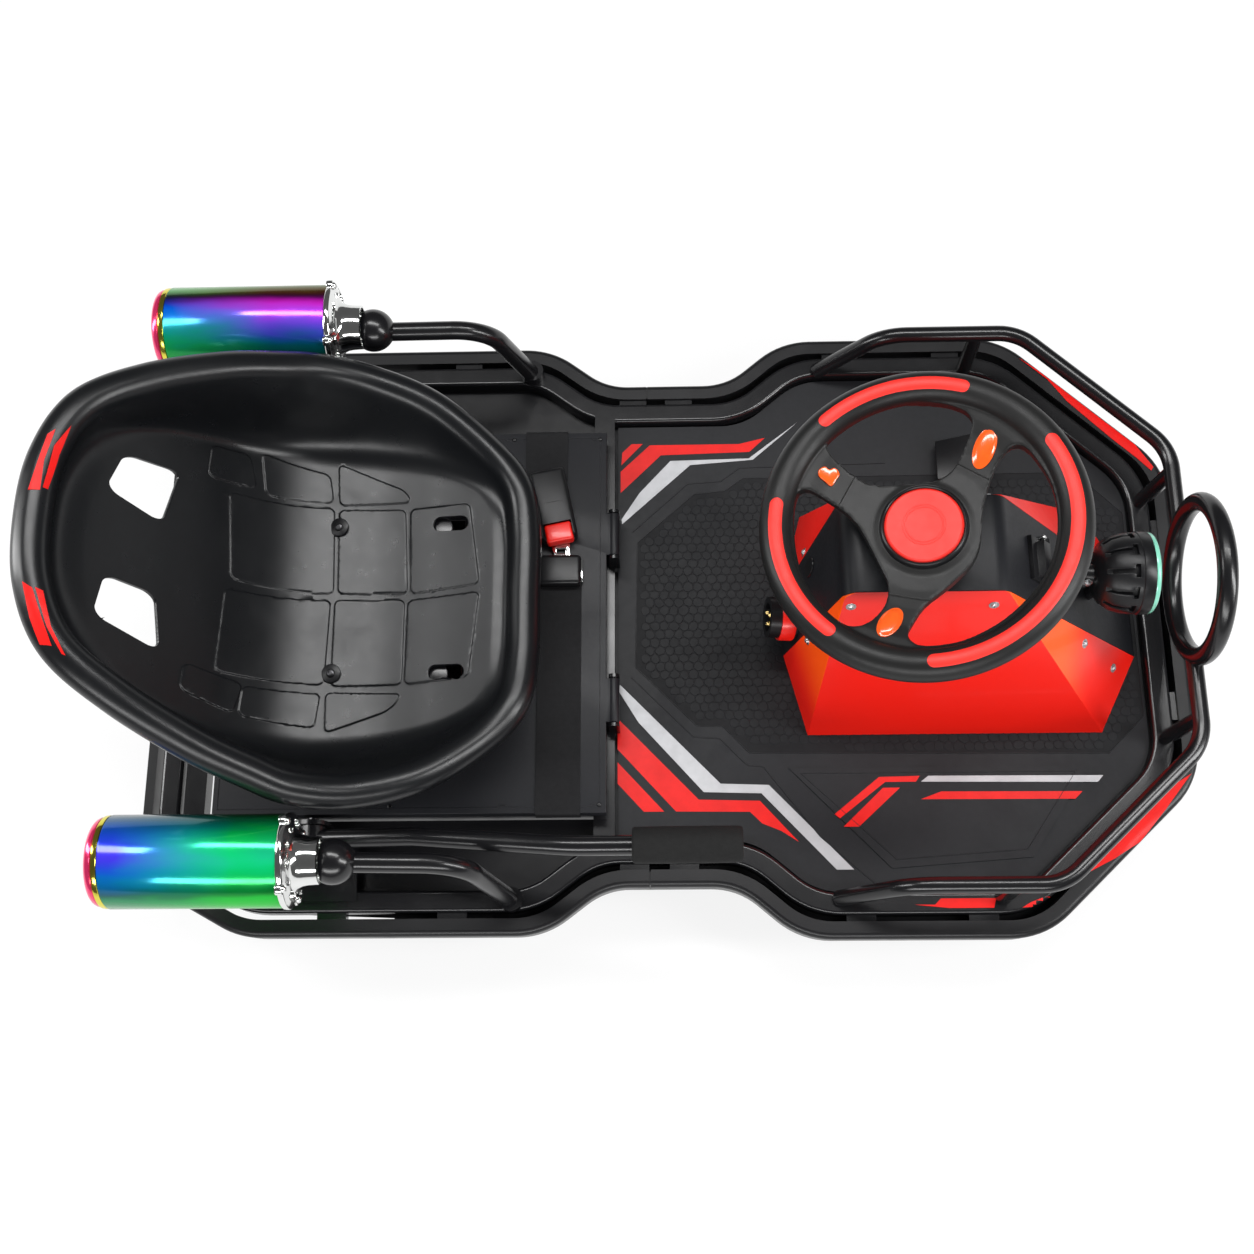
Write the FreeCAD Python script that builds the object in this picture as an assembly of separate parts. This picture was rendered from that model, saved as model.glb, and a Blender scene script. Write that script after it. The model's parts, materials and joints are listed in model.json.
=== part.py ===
import FreeCAD, Part
import math
import os

from FreeCAD import Base

Vector = Base.Vector

# Electric drift kart with one driven, freely steering front wheel and two rear casters.
# Millimetres.  +X forward, +Y to the driver's left, +Z up.
# Origin on the ground, under the middle of the kart.

# ---- plan outline, outer face of the bumpers, one side, front to rear ----
NOSE_X = 648.0             # front face of the bumper
NOSE_CORNER_Y = 199.0
FRONT_HALF_WIDTH = 382.0   # widest stretch beside the footwell
FRONT_WIDE_X = 452.0       # where the front diagonal ends
SHOULDER_X = 174.0         # where the front stretch starts to draw in
WAIST_HALF_WIDTH = 321.0
WAIST_FRONT_X = 102.0
WAIST_REAR_X = -50.0
HIP_X = -122.0             # where the rear stretch reaches full width
REAR_HALF_WIDTH = 376.0
TAIL_X = -475.0            # where the rear chamfer starts
TAIL_END_X = -562.0
TAIL_END_Y = 328.0
OUTLINE_BEND = 90.0        # plan radius of the outline's corners

# ---- perimeter frame ----
FRAME_TUBE = 25.0          # square tube
FRAME_CORNER = 4.0         # rounding of the tube's edges
FRAME_TOP = 120.0
FRAME_REAR_X = -568.0      # centre line of the rear tube
BUMPER_GAP = 7.5           # air between bumper and frame
TAB_LENGTH = 34.0
TAB_HEIGHT = 14.0
TAB_SPACING = 70.0         # either side of the middle of a straight stretch
TAB_END_Y = 110.0          # tabs at the nose and the tail
TAB_WAIST_X = (40.0, -18.0)    # from the seam between the mouldings
WELD_LAP = 1.0             # how far a welded piece runs into the next

# ---- bumper moulding ----
BUMPER_THICK = 20.0
BUMPER_HEIGHT = 42.0
BUMPER_TOP = 118.0
BUMPER_EDGE = 7.0          # rounding of the outer top edge
BUMPER_TAPER = 3.0         # outer face draws in towards its foot
LIP_THICK = 3.0            # web from the moulding towards the frame
LIP_RISE = 8.0             # above the moulding's foot
LIP_GAP = 0.5
LIP_END_X = -300.0         # the gap is open behind this
BUMPER_SEAM_X = 1.0        # joint between the front and the rear mouldings
SEAM_GAP = 1.6
REAR_BAR_THICK = 11.0      # straight strip across the tail
REAR_BAR_HALF = 290.0

# ---- floor ----
DECK_THICK = 3.0           # side sheets beside the seat box
DECK_GAP = 2.0
PAN_RISE = 2.0             # of the side sheets above the frame's underside
PAN_THICK = 2.5
PAN_TOP = 100.0
MAT_THICK = 8.0
MAT_EDGE = 2.5             # air round the mat
MAT_REAR_X = -36.0
PANEL_RAISE = 1.6          # foot panel moulded on the right of the mat
FOOT_PANEL = ((166.0, -180.0), (520.0, -180.0), (446.0, -288.0), (282.0, -300.0))
WHEEL_HOLE_R = 116.0

# ---- guard rail and front hoop ----
RAIL_R = 9.5
POST_R = 9.0               # posts sit just inside the rail they carry
RAIL_Z = 212.0
RAIL_HALF_WIDTH = 336.0
RAIL_DIAGONAL_INSET = 32.0 # rail inside the bumper's face on the diagonals
RAIL_NOSE_INSET = 26.0
RAIL_FOOT_X = 218.0
RAIL_RISE_X = 292.0
RAIL_BEND = 60.0
SIDE_POST_X = 405.0
FRONT_POST_Y = 150.0
HOOP_R = 87.0              # centre line of the hoop
HOOP_TUBE_R = 11.0
HOOP_Z = 254.0
HOOP_LEAN = 2.0            # degrees forward of upright

# ---- console over the front wheel ----
CONSOLE_TOP_Z = 380.0
CONSOLE_TOP_REAR = 213.0
CONSOLE_TOP_FRONT = 381.0
CONSOLE_TOP_HALF = 54.0
CONSOLE_BASE_REAR = 164.0
CONSOLE_BASE_REAR_HALF = 40.0
CONSOLE_SIDE_REAR = 190.0
CONSOLE_SIDE_FRONT = 539.0
CONSOLE_SIDE_HALF = 140.0
CONSOLE_BASE_FRONT = 586.0
CONSOLE_BASE_FRONT_HALF = 46.0
HOOD_BEND = 24.0           # radius of the hood's two cross folds
SHEET = 2.5
PANEL_GAP = 0.5            # shut line between hood and fairings
LATCH_DROP = 60.0          # down the front slope from its top
LATCH_PLATE = (46.0, 50.0, 5.0)
LATCH_RISE = 14.0
LATCH_PIN_R = 3.0
SOCKET_Y = -14.0           # charging socket on the console's rear slope
SOCKET_Z = 172.0
SOCKET_R = 24.0
SOCKET_LENGTH = 34.0
SOCKET_PLUG_R = 17.0
SOCKET_DEPTH = 12.0
SOCKET_PIN_R = 2.4
SOCKET_PIN_CIRCLE = 8.0

# ---- steering ----
FORK_X = 310.0             # upright axis of the front wheel
STEER_RAKE = 10.0          # degrees, column leans back to the driver
STEER_CROSS_Z = 316.0      # height where column and fork axes meet
RIM_ABOVE_HOOD = 57.0      # along the column from the hood's top to the rim's plane
RIM_R = 152.5
RIM_TUBE_R = 17.5
RIM_DISH = 22.0            # hub below the rim's plane
HUB_R = 50.0
HUB_THICK = 30.0
HUB_DROP = 4.0             # middle of the hub below the dish
CAP_R = 41.0
CAP_THICK = 7.0
CAP_EDGE = 2.5
SPOKE_ANGLES = (55.0, 150.0, 252.0)   # degrees from +X towards +Y, wheel as parked
SPOKE_THICK = 15.0
SPOKE_ROOT = 30.0          # half widths at the hub, in the middle and at the rim
SPOKE_WAIST = 17.0
SPOKE_TIP = 25.0
COLUMN_R = 11.0
RUNNING = 0.05             # radial clearance of shafts in bores
BUSH_R = 20.0
BUSH_BELOW = 12.0          # bush under and over the hood's top, along the column
BUSH_ABOVE = 5.0
COLLAR_WALL = 6.0
COLUMN_FOOT = 14.0         # column's lower end above the crossing of the axes

# ---- front drive wheel ----
WHEEL_R = 100.0
WHEEL_WIDTH = 50.0
WHEEL_TURNED = -26.0       # degrees, as parked with the steering wheel
HUB_MOTOR_R = 72.0
AXLE_R = 8.0
FORK_GAP = 7.0             # between wheel and fork leg
FORK_LEG = 8.0
FORK_LEG_WIDTH = 44.0
CROWN_GAP = 0.5            # fork's boss under the bridge
AXLE_PROUD = 6.0           # axle ends past the fork legs
TYRE_SHOULDER = 12.0       # tread's edge inside the tyre's radius
TYRE_CROWN = 2.0
TYRE_WALL_IN = (9.0, 16.0) # where the shoulder and the tread start, from the side
BEAD_DEPTH = 6.0           # rim seat of the tyre
MOTOR_BOSS_R = 22.0
MOTOR_BOSS_PROUD = 3.0
CROWN_Z = 214.0
CROWN_THICK = 12.0
STEERER_R = 12.0
BRIDGE_TOP = 244.0
BRIDGE_THICK = 6.0
BRIDGE_HALF_WIDTH = 36.0
BRIDGE_FRONT_X = 430.0
BRIDGE_REAR_LOW_X = 176.0
BRIDGE_REAR_HIGH_X = 196.0
BEARING_R = 24.0
BEARING_TOP = 296.0

# ---- headlamp ----
LAMP_Z = 276.0
LAMP_R = 46.0
LAMP_REAR_X = 498.0
LAMP_FRONT_X = 566.0
LAMP_FINS = 10
LAMP_CORE_INSET = 8.0      # body under the fins
LAMP_RIM = 20.0            # depth of the front ring
LAMP_RIM_LAP = 6.0         # body runs this far into the ring
LAMP_FIN = (5.0, 12.0, 2.0)    # thickness, then how far its foot and its top lie inside the ring's face
LAMP_POST_R = 8.0
LAMP_POST_DROP = 26.0      # foot of the post below the lamp
LENS_R = 41.0
LENS_THICK = 8.0
LENS_PROUD = 2.0
LENS_FIT = 0.1             # radial

# ---- seat box, lid and battery ----
BOX_GAP = 0.5              # seat box to the front cross tube
BOX_UNDER_LID = 6.0        # rear wall of the box inside the lid's rear edge
HANGER_Y = 130.0           # straps from the rear cross tube to the box
HANGER_WIDTH = 40.0
HANGER_THICK = 5.0
BOX_HALF_WIDTH = 236.0
BOX_BOTTOM = 62.0
BOX_TOP = 146.7
LID_TOP = 150.0
LID_THICK = 3.0
LID_FRONT_X = -49.0
LID_REAR_X = -508.0
LID_HALF_WIDTH = 240.0
LID_SKIRT = 15.0
CROSS_FRONT_X = -52.5
CROSS_REAR_X = -538.0
HINGE_X = -40.0
HINGE_Z = 145.0
HINGE_PIN_R = 4.0
HINGE_KNUCKLE_R = 6.5
HINGE_Y = 105.0
HINGE_HALF_LENGTH = 32.0
EAR_THICK = 4.0
BATTERY_SIZE = (180.0, 300.0, 66.0)
BATTERY_X = -370.0

# ---- seat shell, stations down the middle: X, Z, half width, side height, lean of the section ----
SEAT_WALL = 5.0
SEAT_BEAD_R = 13.0
SEAT_LIP = 40.0            # degrees the rolled edge turns down past level
SEAT_FLAT = 0.56           # shares of the half width: flat pan, knee of the side
SEAT_KNEE = 0.80
SEAT_KNEE_RISE = 0.22      # share of the side's height at the knee
SEAT_STATIONS = (
    (-150.0, 236.0, 150.0, 6.0, 0.0),
    (-182.0, 229.0, 190.0, 18.0, 0.0),
    (-250.0, 220.0, 240.0, 54.0, 2.0),
    (-325.0, 215.0, 262.0, 84.0, 6.0),
    (-400.0, 223.0, 264.0, 108.0, 14.0),
    (-465.0, 264.0, 252.0, 106.0, 30.0),
    (-520.0, 336.0, 232.0, 82.0, 46.0),
    (-570.0, 412.0, 194.0, 52.0, 57.0),
    (-600.0, 458.0, 150.0, 26.0, 58.0),
    (-611.0, 476.0, 112.0, 8.0, 58.0),
)
SEAT_BOLT_X = -362.0
SEAT_BOLT_Y = 90.0
SEAT_HOLE_X = -545.0
SEAT_HOLE_Y = 71.0
SEAT_HOLE_Z = 372.0
SEAT_HOLE = (64.0, 62.0)
SEAT_HOLE_CORNER = 8.0
SEAT_HOLE_LEAN = 38.0      # degrees
SEAT_BOLT_HOLE_R = 4.2
SEAT_FRONT_BOW = 15.0      # rolled front edge ahead of its ends
SEAT_REAR_BOW = 12.0       # rolled rear edge behind and above its ends
SEAT_FRONT_SAG = 4.0
SEAT_BELOW = 180.0         # height under the seat that the cuts start from
SEAT_CUT_HEIGHT = 80.0
SEAT_SLOT_X = -227.0
SEAT_SLOT_LENGTH = 34.0
SEAT_SLOT_WIDTH = 17.0
RISER_WIDTH = 34.0
RISER_FRONT_X = -215.0
RISER_REAR_X = -410.0
RISER_TOP = 196.0
PAD_R = 13.0
PAD_SET_BACK = 26.0        # front pad behind the riser's front end
RISER_CROSS_HALF = 20.0

# ---- seat belt on the lid ----
WEB_WIDTH = 48.0
WEB_THICK = 1.6
REST_GAP = 0.3             # loose things above what they lie on
BELT_X = -104.0
BUCKLE_Y = (92.0, 160.0)
BUCKLE_SIZE = (40.0, 24.0)
TONGUE_Y = (38.0, 76.0)
BUTTON_DEPTH = 20.0
BUCKLE_CORNER = 5.0
BUCKLE_WALL = 5.0
BUTTON_FLOOR = 6.0         # recess of the button above the buckle's foot
BUTTON_PROUD = 3.0
TANG = (9.0, 3.0, 5.5)     # blade in from the buckle's sides, its foot and its top
TONGUE_WIDER = 4.0
TONGUE_SHARE = 0.7         # height of the tongue's housing to the buckle's
STRAP_SET = 14.0           # left strap behind the right one
STRAP_GAP = 1.0
STRAP_ABOVE_SKIRT = 2.0

# ---- mufflers and their pipes ----
MUFFLER_Y = 317.0
MUFFLER_Z = 288.0
RIGHT_SET_BACK = 14.0      # the right muffler and pipe sit this far behind the left ones
CAN_R = 50.0
CAN_FRONT_X = -368.0
CAN_REAR_X = -572.0
NECK_R = 24.0
NECK_FRONT_X = -332.0
CAN_CAP = 14.0             # depth of the tapered rear cap
CAN_CAP_DRAW = 9.0         # how much its end draws in
OUTLET_SHARE = 0.42        # outlet's radius to the can's
OUTLET_DEPTH = 40.0
FLANGE_THICK = 7.0
FLANGE_PROUD = 1.5
FLANGE_LUG_R = 7.0
FLANGE_LUGS = 4
NECK_FLARE = 6.0
DOME_R = 25.0
DOME_DROP = 8.0            # dome's middle under the can's axis
DOME_X = -321.0
PIPE_R = 11.0
PIPE_FOOT_X = -145.0
PIPE_ELBOW_X = -186.0
PIPE_BEND = 55.0
PIPE_ELBOW_DROP = 14.0     # pipe under the can's axis at the elbow and at the dome
PIPE_DOME_DROP = 12.0
PIPE_ELBOW_OUT = 2.0
PIPE_COLLAR = (3.0, 14.0)  # wall and height of the collar on the frame

# ---- drift lever on the driver's right ----
LEVER_Y = -296.0
LEVER_PIVOT_Y = -272.0
LEVER_PIVOT_X = -384.0
LEVER_PIVOT_Z = 168.0
LEVER_R = 11.0
LEVER_GRIP_Z = 250.0
GRIP_REAR_X = -16.0
GRIP_FRONT_X = 104.0
GRIP_R = 20.0
LEVER_PIN_R = 6.0
BRACKET_EAR = 5.0
BRACKET_INSIDE = 30.0      # between the ears
BRACKET_PLATE_HALF = 45.0
BRACKET_EAR_HALF = 18.0
BRACKET_PIN_PROUD = 4.0
LEVER_BOSS_WALL = 4.0
LEVER_SIDE_GAP = 1.0       # boss to the ears
LEVER_KNEES = ((120.0, 34.0), (298.0, 78.0))   # ahead of and above the pivot
LEVER_BEND = 160.0
GRIP_LAP = 3.0             # closed end of the grip past the lever

# ---- rear casters ----
CASTER_X = -400.0
CASTER_Y = 306.0
CASTER_WHEEL_R = 33.0
CASTER_WHEEL_WIDTH = 24.0
CASTER_TRAIL = 24.0
CASTER_LEG = 3.0
CASTER_LEG_GAP = 1.5
CASTER_AXLE_R = 5.0
CASTER_PLATE = 5.0
CASTER_PLATE_HALF = 45.0
CASTER_HEAD_R = 22.0
CASTER_HEAD = 6.0
CASTER_HEAD_GAP = 1.0      # head under the plate
CASTER_AXLE_RISE = 12.0    # axle above the plate's thickness
CASTER_CROWN = (-30.0, 16.0)   # fork's crown, behind and ahead of the swivel
CASTER_FOOT_HALF = 9.0     # half width of a fork leg at the axle
CASTER_HUB_R = 14.0

# ---- pedal ----
PEDAL_X = 392.0
PEDAL_Y = 206.0
PEDAL_BASE = (62.0, 60.0, 12.0)
PEDAL_PLATE = (74.0, 52.0, 6.0)
PEDAL_NECK = (20.0, 28.0)
PEDAL_SET_BACK = 3.0       # middle of the base and plate ahead of the pedal's own place
PEDAL_RISE = 33.0          # middle of the plate above the mat
PEDAL_SLOPE = 28.0         # degrees

# ---- derived ----
FRAME_Z = FRAME_TOP - FRAME_TUBE / 2
FRAME_BOTTOM = FRAME_TOP - FRAME_TUBE
BOX_FRONT_X = CROSS_FRONT_X - FRAME_TUBE / 2 - BOX_GAP
BOX_REAR_X = LID_REAR_X + BOX_UNDER_LID
FRAME_INSET = BUMPER_THICK + BUMPER_GAP + FRAME_TUBE / 2
MAT_TOP = PAN_TOP + MAT_THICK
RAKE = math.radians(STEER_RAKE)
STEER_AXIS = Vector(-math.sin(RAKE), 0, math.cos(RAKE))
STEER_CROSS = Vector(FORK_X, 0, STEER_CROSS_Z)
HOOD_DISTANCE = (CONSOLE_TOP_Z - STEER_CROSS_Z) / STEER_AXIS.z
RIM_DISTANCE = HOOD_DISTANCE + RIM_ABOVE_HOOD
RIM_CENTRE = STEER_CROSS + STEER_AXIS * RIM_DISTANCE
HUB_BOTTOM = -RIM_DISH - HUB_DROP - HUB_THICK / 2
HUB_TOP = HUB_BOTTOM + HUB_THICK

PARTS = {}


# ---------------------------------------------------------------- helpers
def v(x, y, z):
    return Vector(x, y, z)


def block(x0, x1, y0, y1, z0, z1):
    return Part.makeBox(x1 - x0, y1 - y0, z1 - z0, v(x0, y0, z0))


def rod(start, end, radius):
    direction = end - start
    return Part.makeCylinder(radius, direction.Length, start, direction)


def fuse(shapes):
    result = shapes[0]
    if len(shapes) > 1:
        result = shapes[0].multiFuse(shapes[1:])
    return result.removeSplitter()


def mirror_y(shape):
    return shape.mirror(v(0, 0, 0), v(0, 1, 0))


def turned(shape, centre, axis, degrees):
    copy = shape.copy()
    copy.rotate(centre, axis, degrees)
    return copy


def bent_wire(points, radius, closed=False):
    """Straight runs joined by arcs of one radius."""
    count = len(points)
    last = count if closed else count - 1
    trims = []
    for i in range(count):
        if not closed and i in (0, count - 1):
            trims.append((points[i], points[i], None))
            continue
        corner = points[i]
        back = (points[i - 1] - corner).normalize()
        ahead = (points[(i + 1) % count] - corner).normalize()
        angle = back.getAngle(ahead)
        reach = radius / math.tan(angle / 2)
        middle = (back + ahead).normalize()
        depth = radius / math.sin(angle / 2) - radius
        trims.append((corner + back * reach, corner + ahead * reach, corner + middle * depth))
    edges = []
    for i in range(last):
        here = trims[i]
        there = trims[(i + 1) % count]
        if here[2] is not None and (closed or i > 0):
            edges.append(Part.Arc(here[0], here[2], here[1]).toShape())
        edges.append(Part.makeLine(here[1], there[0]))
    return Part.Wire(edges)


def bar_along(wire, profile_at):
    """Straight runs extruded and bends revolved, joined into one bar."""
    runs = []
    for edge in wire.OrderedEdges:
        start = edge.valueAt(edge.FirstParameter)
        face = Part.Face(profile_at(start, edge.tangentAt(edge.FirstParameter)))
        if isinstance(edge.Curve, Part.Line):
            runs.append(face.extrude(edge.valueAt(edge.LastParameter) - start))
        else:
            turn = math.degrees(edge.LastParameter - edge.FirstParameter)
            runs.append(face.revolve(edge.Curve.Center, edge.Curve.Axis, turn))
    return fuse(runs)


def tube_along(wire, radius):
    def ring(start, tangent):
        return Part.Wire(Part.makeCircle(radius, start, tangent))
    return bar_along(wire, ring)


def offset_outline(points, inset):
    """Move every side of an open polyline to its right by the inset; the ends stay on their own lines."""
    lines = []
    for a, b in zip(points, points[1:]):
        length = math.hypot(b[0] - a[0], b[1] - a[1])
        normal = ((b[1] - a[1]) / length, -(b[0] - a[0]) / length)
        lines.append(((a[0] + normal[0] * inset, a[1] + normal[1] * inset),
                      (b[0] - a[0], b[1] - a[1])))
    result = [lines[0][0]]
    for (p, d), (q, e) in zip(lines, lines[1:]):
        cross = d[0] * e[1] - d[1] * e[0]
        t = ((q[0] - p[0]) * e[1] - (q[1] - p[1]) * e[0]) / cross
        result.append((p[0] + d[0] * t, p[1] + d[1] * t))
    p, d = lines[-1]
    result.append((p[0] + d[0], p[1] + d[1]))
    return result


def outline_half(inset):
    """Left side of the plan outline, from the nose's middle to the tail, moved inwards."""
    outer = [
        (NOSE_X, 0.0),
        (NOSE_X, NOSE_CORNER_Y),
        (FRONT_WIDE_X, FRONT_HALF_WIDTH),
        (SHOULDER_X, FRONT_HALF_WIDTH),
        (WAIST_FRONT_X, WAIST_HALF_WIDTH),
        (WAIST_REAR_X, WAIST_HALF_WIDTH),
        (HIP_X, REAR_HALF_WIDTH),
        (TAIL_X, REAR_HALF_WIDTH),
        (TAIL_END_X, TAIL_END_Y),
    ]
    return offset_outline(outer, -inset)


def closed_outline(inset, rear_x):
    """Whole plan outline moved inwards, closed across at rear_x, as a list of plan points."""
    half = outline_half(inset)[1:]
    (x0, y0), (x1, y1) = half[-2], half[-1]
    share = (rear_x - x0) / (x1 - x0)
    half[-1] = (rear_x, y0 + (y1 - y0) * share)
    return half + [(x, -y) for x, y in reversed(half)]


def plan_face(points, z, bend):
    wire = bent_wire([v(x, y, z) for x, y in points], bend, closed=True)
    return Part.Face(wire)


def frame_section(centre, tangent):
    """Square tube across a level path."""
    side = v(0, 0, 1).cross(tangent).normalize()
    up = v(0, 0, 1)
    corners = []
    for across, along in ((1, 1), (-1, 1), (-1, -1), (1, -1)):
        corners.append(centre + (side * across + up * along) * (FRAME_TUBE / 2))
    return bent_wire(corners, FRAME_CORNER, closed=True)


def bumper_section(centre, tangent):
    """Flat back, rounded top edge and a face that draws in towards its foot."""
    outward = tangent.cross(v(0, 0, 1)).normalize()
    half = BUMPER_THICK / 2
    low = -BUMPER_HEIGHT / 2
    high = BUMPER_HEIGHT / 2

    def place(out, up):
        return centre + outward * out + v(0, 0, up)

    diagonal = BUMPER_EDGE * (1 - math.sqrt(0.5))
    edge = Part.Arc(place(half - BUMPER_EDGE, high), place(half - diagonal, high - diagonal),
                    place(half, high - BUMPER_EDGE)).toShape()
    return Part.Wire([
        Part.makeLine(place(-half, low), place(-half, high)),
        Part.makeLine(place(-half, high), place(half - BUMPER_EDGE, high)),
        edge,
        Part.makeLine(place(half, high - BUMPER_EDGE), place(half - BUMPER_TAPER, low)),
        Part.makeLine(place(half - BUMPER_TAPER, low), place(-half, low)),
    ])


def lip_section(centre, tangent):
    """Web low on the moulding's back, reaching almost to the frame."""
    outward = tangent.cross(v(0, 0, 1)).normalize()
    root = -BUMPER_THICK / 2 + WELD_LAP
    tip = -BUMPER_THICK / 2 - BUMPER_GAP + LIP_GAP
    low = -BUMPER_HEIGHT / 2 + LIP_RISE
    corners = []
    for out, up in ((root, low), (tip, low), (tip, low + LIP_THICK), (root, low + LIP_THICK)):
        corners.append(centre + outward * out + v(0, 0, up))
    return Part.makePolygon(corners + corners[:1])


def convex_solid(planes, limits):
    """Box cut by half spaces; each plane is (point, outward normal)."""
    solid = block(*limits)
    size = 4000.0
    for point, normal in planes:
        knife = Part.makeBox(size, size, size, v(-size / 2, -size / 2, 0))
        placement = FreeCAD.Placement(point, FreeCAD.Rotation(v(0, 0, 1), normal))
        knife.Placement = placement
        solid = solid.cut(knife)
    return solid


def add(name, shape):
    PARTS[name] = shape


# ---------------------------------------------------------------- frame and floor
def frame_points():
    return closed_outline(FRAME_INSET, FRAME_REAR_X)


def cross_tube(x):
    """Tube across the frame, coped into the side rails."""
    reach = 0.0
    points = frame_points()
    for (x0, y0), (x1, y1) in zip(points, points[1:]):
        if min(x0, x1) <= x <= max(x0, x1) and x0 != x1 and y0 > 0:
            reach = y0 + (y1 - y0) * (x - x0) / (x1 - x0)
    half = FRAME_TUBE / 2
    return block(x - half, x + half, -reach, reach, FRAME_BOTTOM, FRAME_TOP)


def bumper_tabs():
    """Spacer tabs that carry the bumpers on straight stretches of the frame."""
    tabs = []
    middle = (FRONT_WIDE_X + SHOULDER_X) / 2
    rear_middle = (HIP_X + TAIL_X) / 2
    inner = BUMPER_THICK
    outer = BUMPER_THICK + BUMPER_GAP + WELD_LAP
    z0 = FRAME_Z - TAB_HEIGHT / 2
    z1 = FRAME_Z + TAB_HEIGHT / 2
    places = [(BUMPER_SEAM_X + x, WAIST_HALF_WIDTH) for x in TAB_WAIST_X]
    for x in (-TAB_SPACING, TAB_SPACING):
        places += [(middle + x, FRONT_HALF_WIDTH), (rear_middle + x, REAR_HALF_WIDTH)]
    for x, half_width in places:
        tab = block(x - TAB_LENGTH / 2, x + TAB_LENGTH / 2,
                    half_width - outer, half_width - inner, z0, z1)
        tabs += [tab, mirror_y(tab)]
    frame_rear = FRAME_REAR_X - FRAME_TUBE / 2
    for y in (-TAB_END_Y, TAB_END_Y):
        y0 = y - TAB_LENGTH / 2
        tabs.append(block(NOSE_X - outer, NOSE_X - inner, y0, y0 + TAB_LENGTH, z0, z1))
        tabs.append(block(frame_rear - BUMPER_GAP, frame_rear + WELD_LAP, y0, y0 + TAB_LENGTH, z0, z1))
    return tabs


def box_hangers():
    """Straps from the rear cross tube to the seat box's rear wall."""
    straps = []
    for y in (-HANGER_Y, HANGER_Y):
        straps.append(block(CROSS_REAR_X, BOX_REAR_X, y - HANGER_WIDTH / 2, y + HANGER_WIDTH / 2,
                            FRAME_BOTTOM, FRAME_BOTTOM + HANGER_THICK))
    return straps


def lid_hinge_ears():
    """Upright ears on the front cross tube, with the pin between them."""
    solids = []
    for middle in (-HINGE_Y, HINGE_Y):
        y0 = middle - HINGE_HALF_LENGTH
        y1 = middle + HINGE_HALF_LENGTH
        for y in (y0, y1 - EAR_THICK):
            ear = block(HINGE_X - HINGE_KNUCKLE_R, HINGE_X + HINGE_KNUCKLE_R,
                        y, y + EAR_THICK, FRAME_TOP - 6, HINGE_Z)
            head = rod(v(HINGE_X, y, HINGE_Z), v(HINGE_X, y + EAR_THICK, HINGE_Z), HINGE_KNUCKLE_R)
            solids += [ear, head]
        solids.append(rod(v(HINGE_X, y0, HINGE_Z), v(HINGE_X, y1, HINGE_Z), HINGE_PIN_R))
    return solids


def caster_plates():
    solids = []
    inner_y = BOX_HALF_WIDTH + DECK_GAP
    outer_y = REAR_HALF_WIDTH - FRAME_INSET
    plate = block(CASTER_X - CASTER_PLATE_HALF, CASTER_X + CASTER_PLATE_HALF, inner_y, outer_y,
                  FRAME_BOTTOM, FRAME_BOTTOM + CASTER_PLATE)
    bore = Part.makeCylinder(CASTER_AXLE_R + RUNNING, CASTER_PLATE + 2,
                             v(CASTER_X, CASTER_Y, FRAME_BOTTOM - 1))
    plate = plate.cut(bore)
    solids += [plate, mirror_y(plate)]
    return solids


def side_decks():
    """Sheet between the seat box and the side rails."""
    z = FRAME_BOTTOM + PAN_RISE
    face = plan_face(closed_outline(FRAME_INSET, FRAME_REAR_X), z, OUTLINE_BEND)
    sheet = face.extrude(v(0, 0, DECK_THICK))
    inner_y = BOX_HALF_WIDTH + DECK_GAP
    left = sheet.common(block(CROSS_REAR_X, CROSS_FRONT_X, inner_y, FRONT_HALF_WIDTH, 0, FRAME_TOP))
    left = left.cut(Part.makeCylinder(CASTER_AXLE_R + RUNNING, FRAME_TOP, v(CASTER_X, CASTER_Y, 0)))
    return [left, mirror_y(left)]


def main_frame():
    wire = bent_wire([v(x, y, FRAME_Z) for x, y in frame_points()], OUTLINE_BEND, closed=True)
    solids = [bar_along(wire, frame_section), cross_tube(CROSS_FRONT_X), cross_tube(CROSS_REAR_X)]
    solids += bumper_tabs() + lid_hinge_ears() + caster_plates() + box_hangers() + side_decks()
    add("main_frame", fuse(solids))


def floor_pan():
    inset = FRAME_INSET + FRAME_TUBE / 2
    rear = CROSS_FRONT_X + FRAME_TUBE / 2
    face = plan_face(closed_outline(inset, -400.0), PAN_TOP - PAN_THICK, OUTLINE_BEND - FRAME_TUBE / 2)
    pan = face.extrude(v(0, 0, PAN_THICK))
    pan = pan.common(block(rear, NOSE_X, -500, 500, 0, 300))
    hole = Part.makeCylinder(WHEEL_HOLE_R, 60, v(FORK_X, 0, PAN_TOP - 30))
    add("floor_pan", pan.cut(hole))


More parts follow.
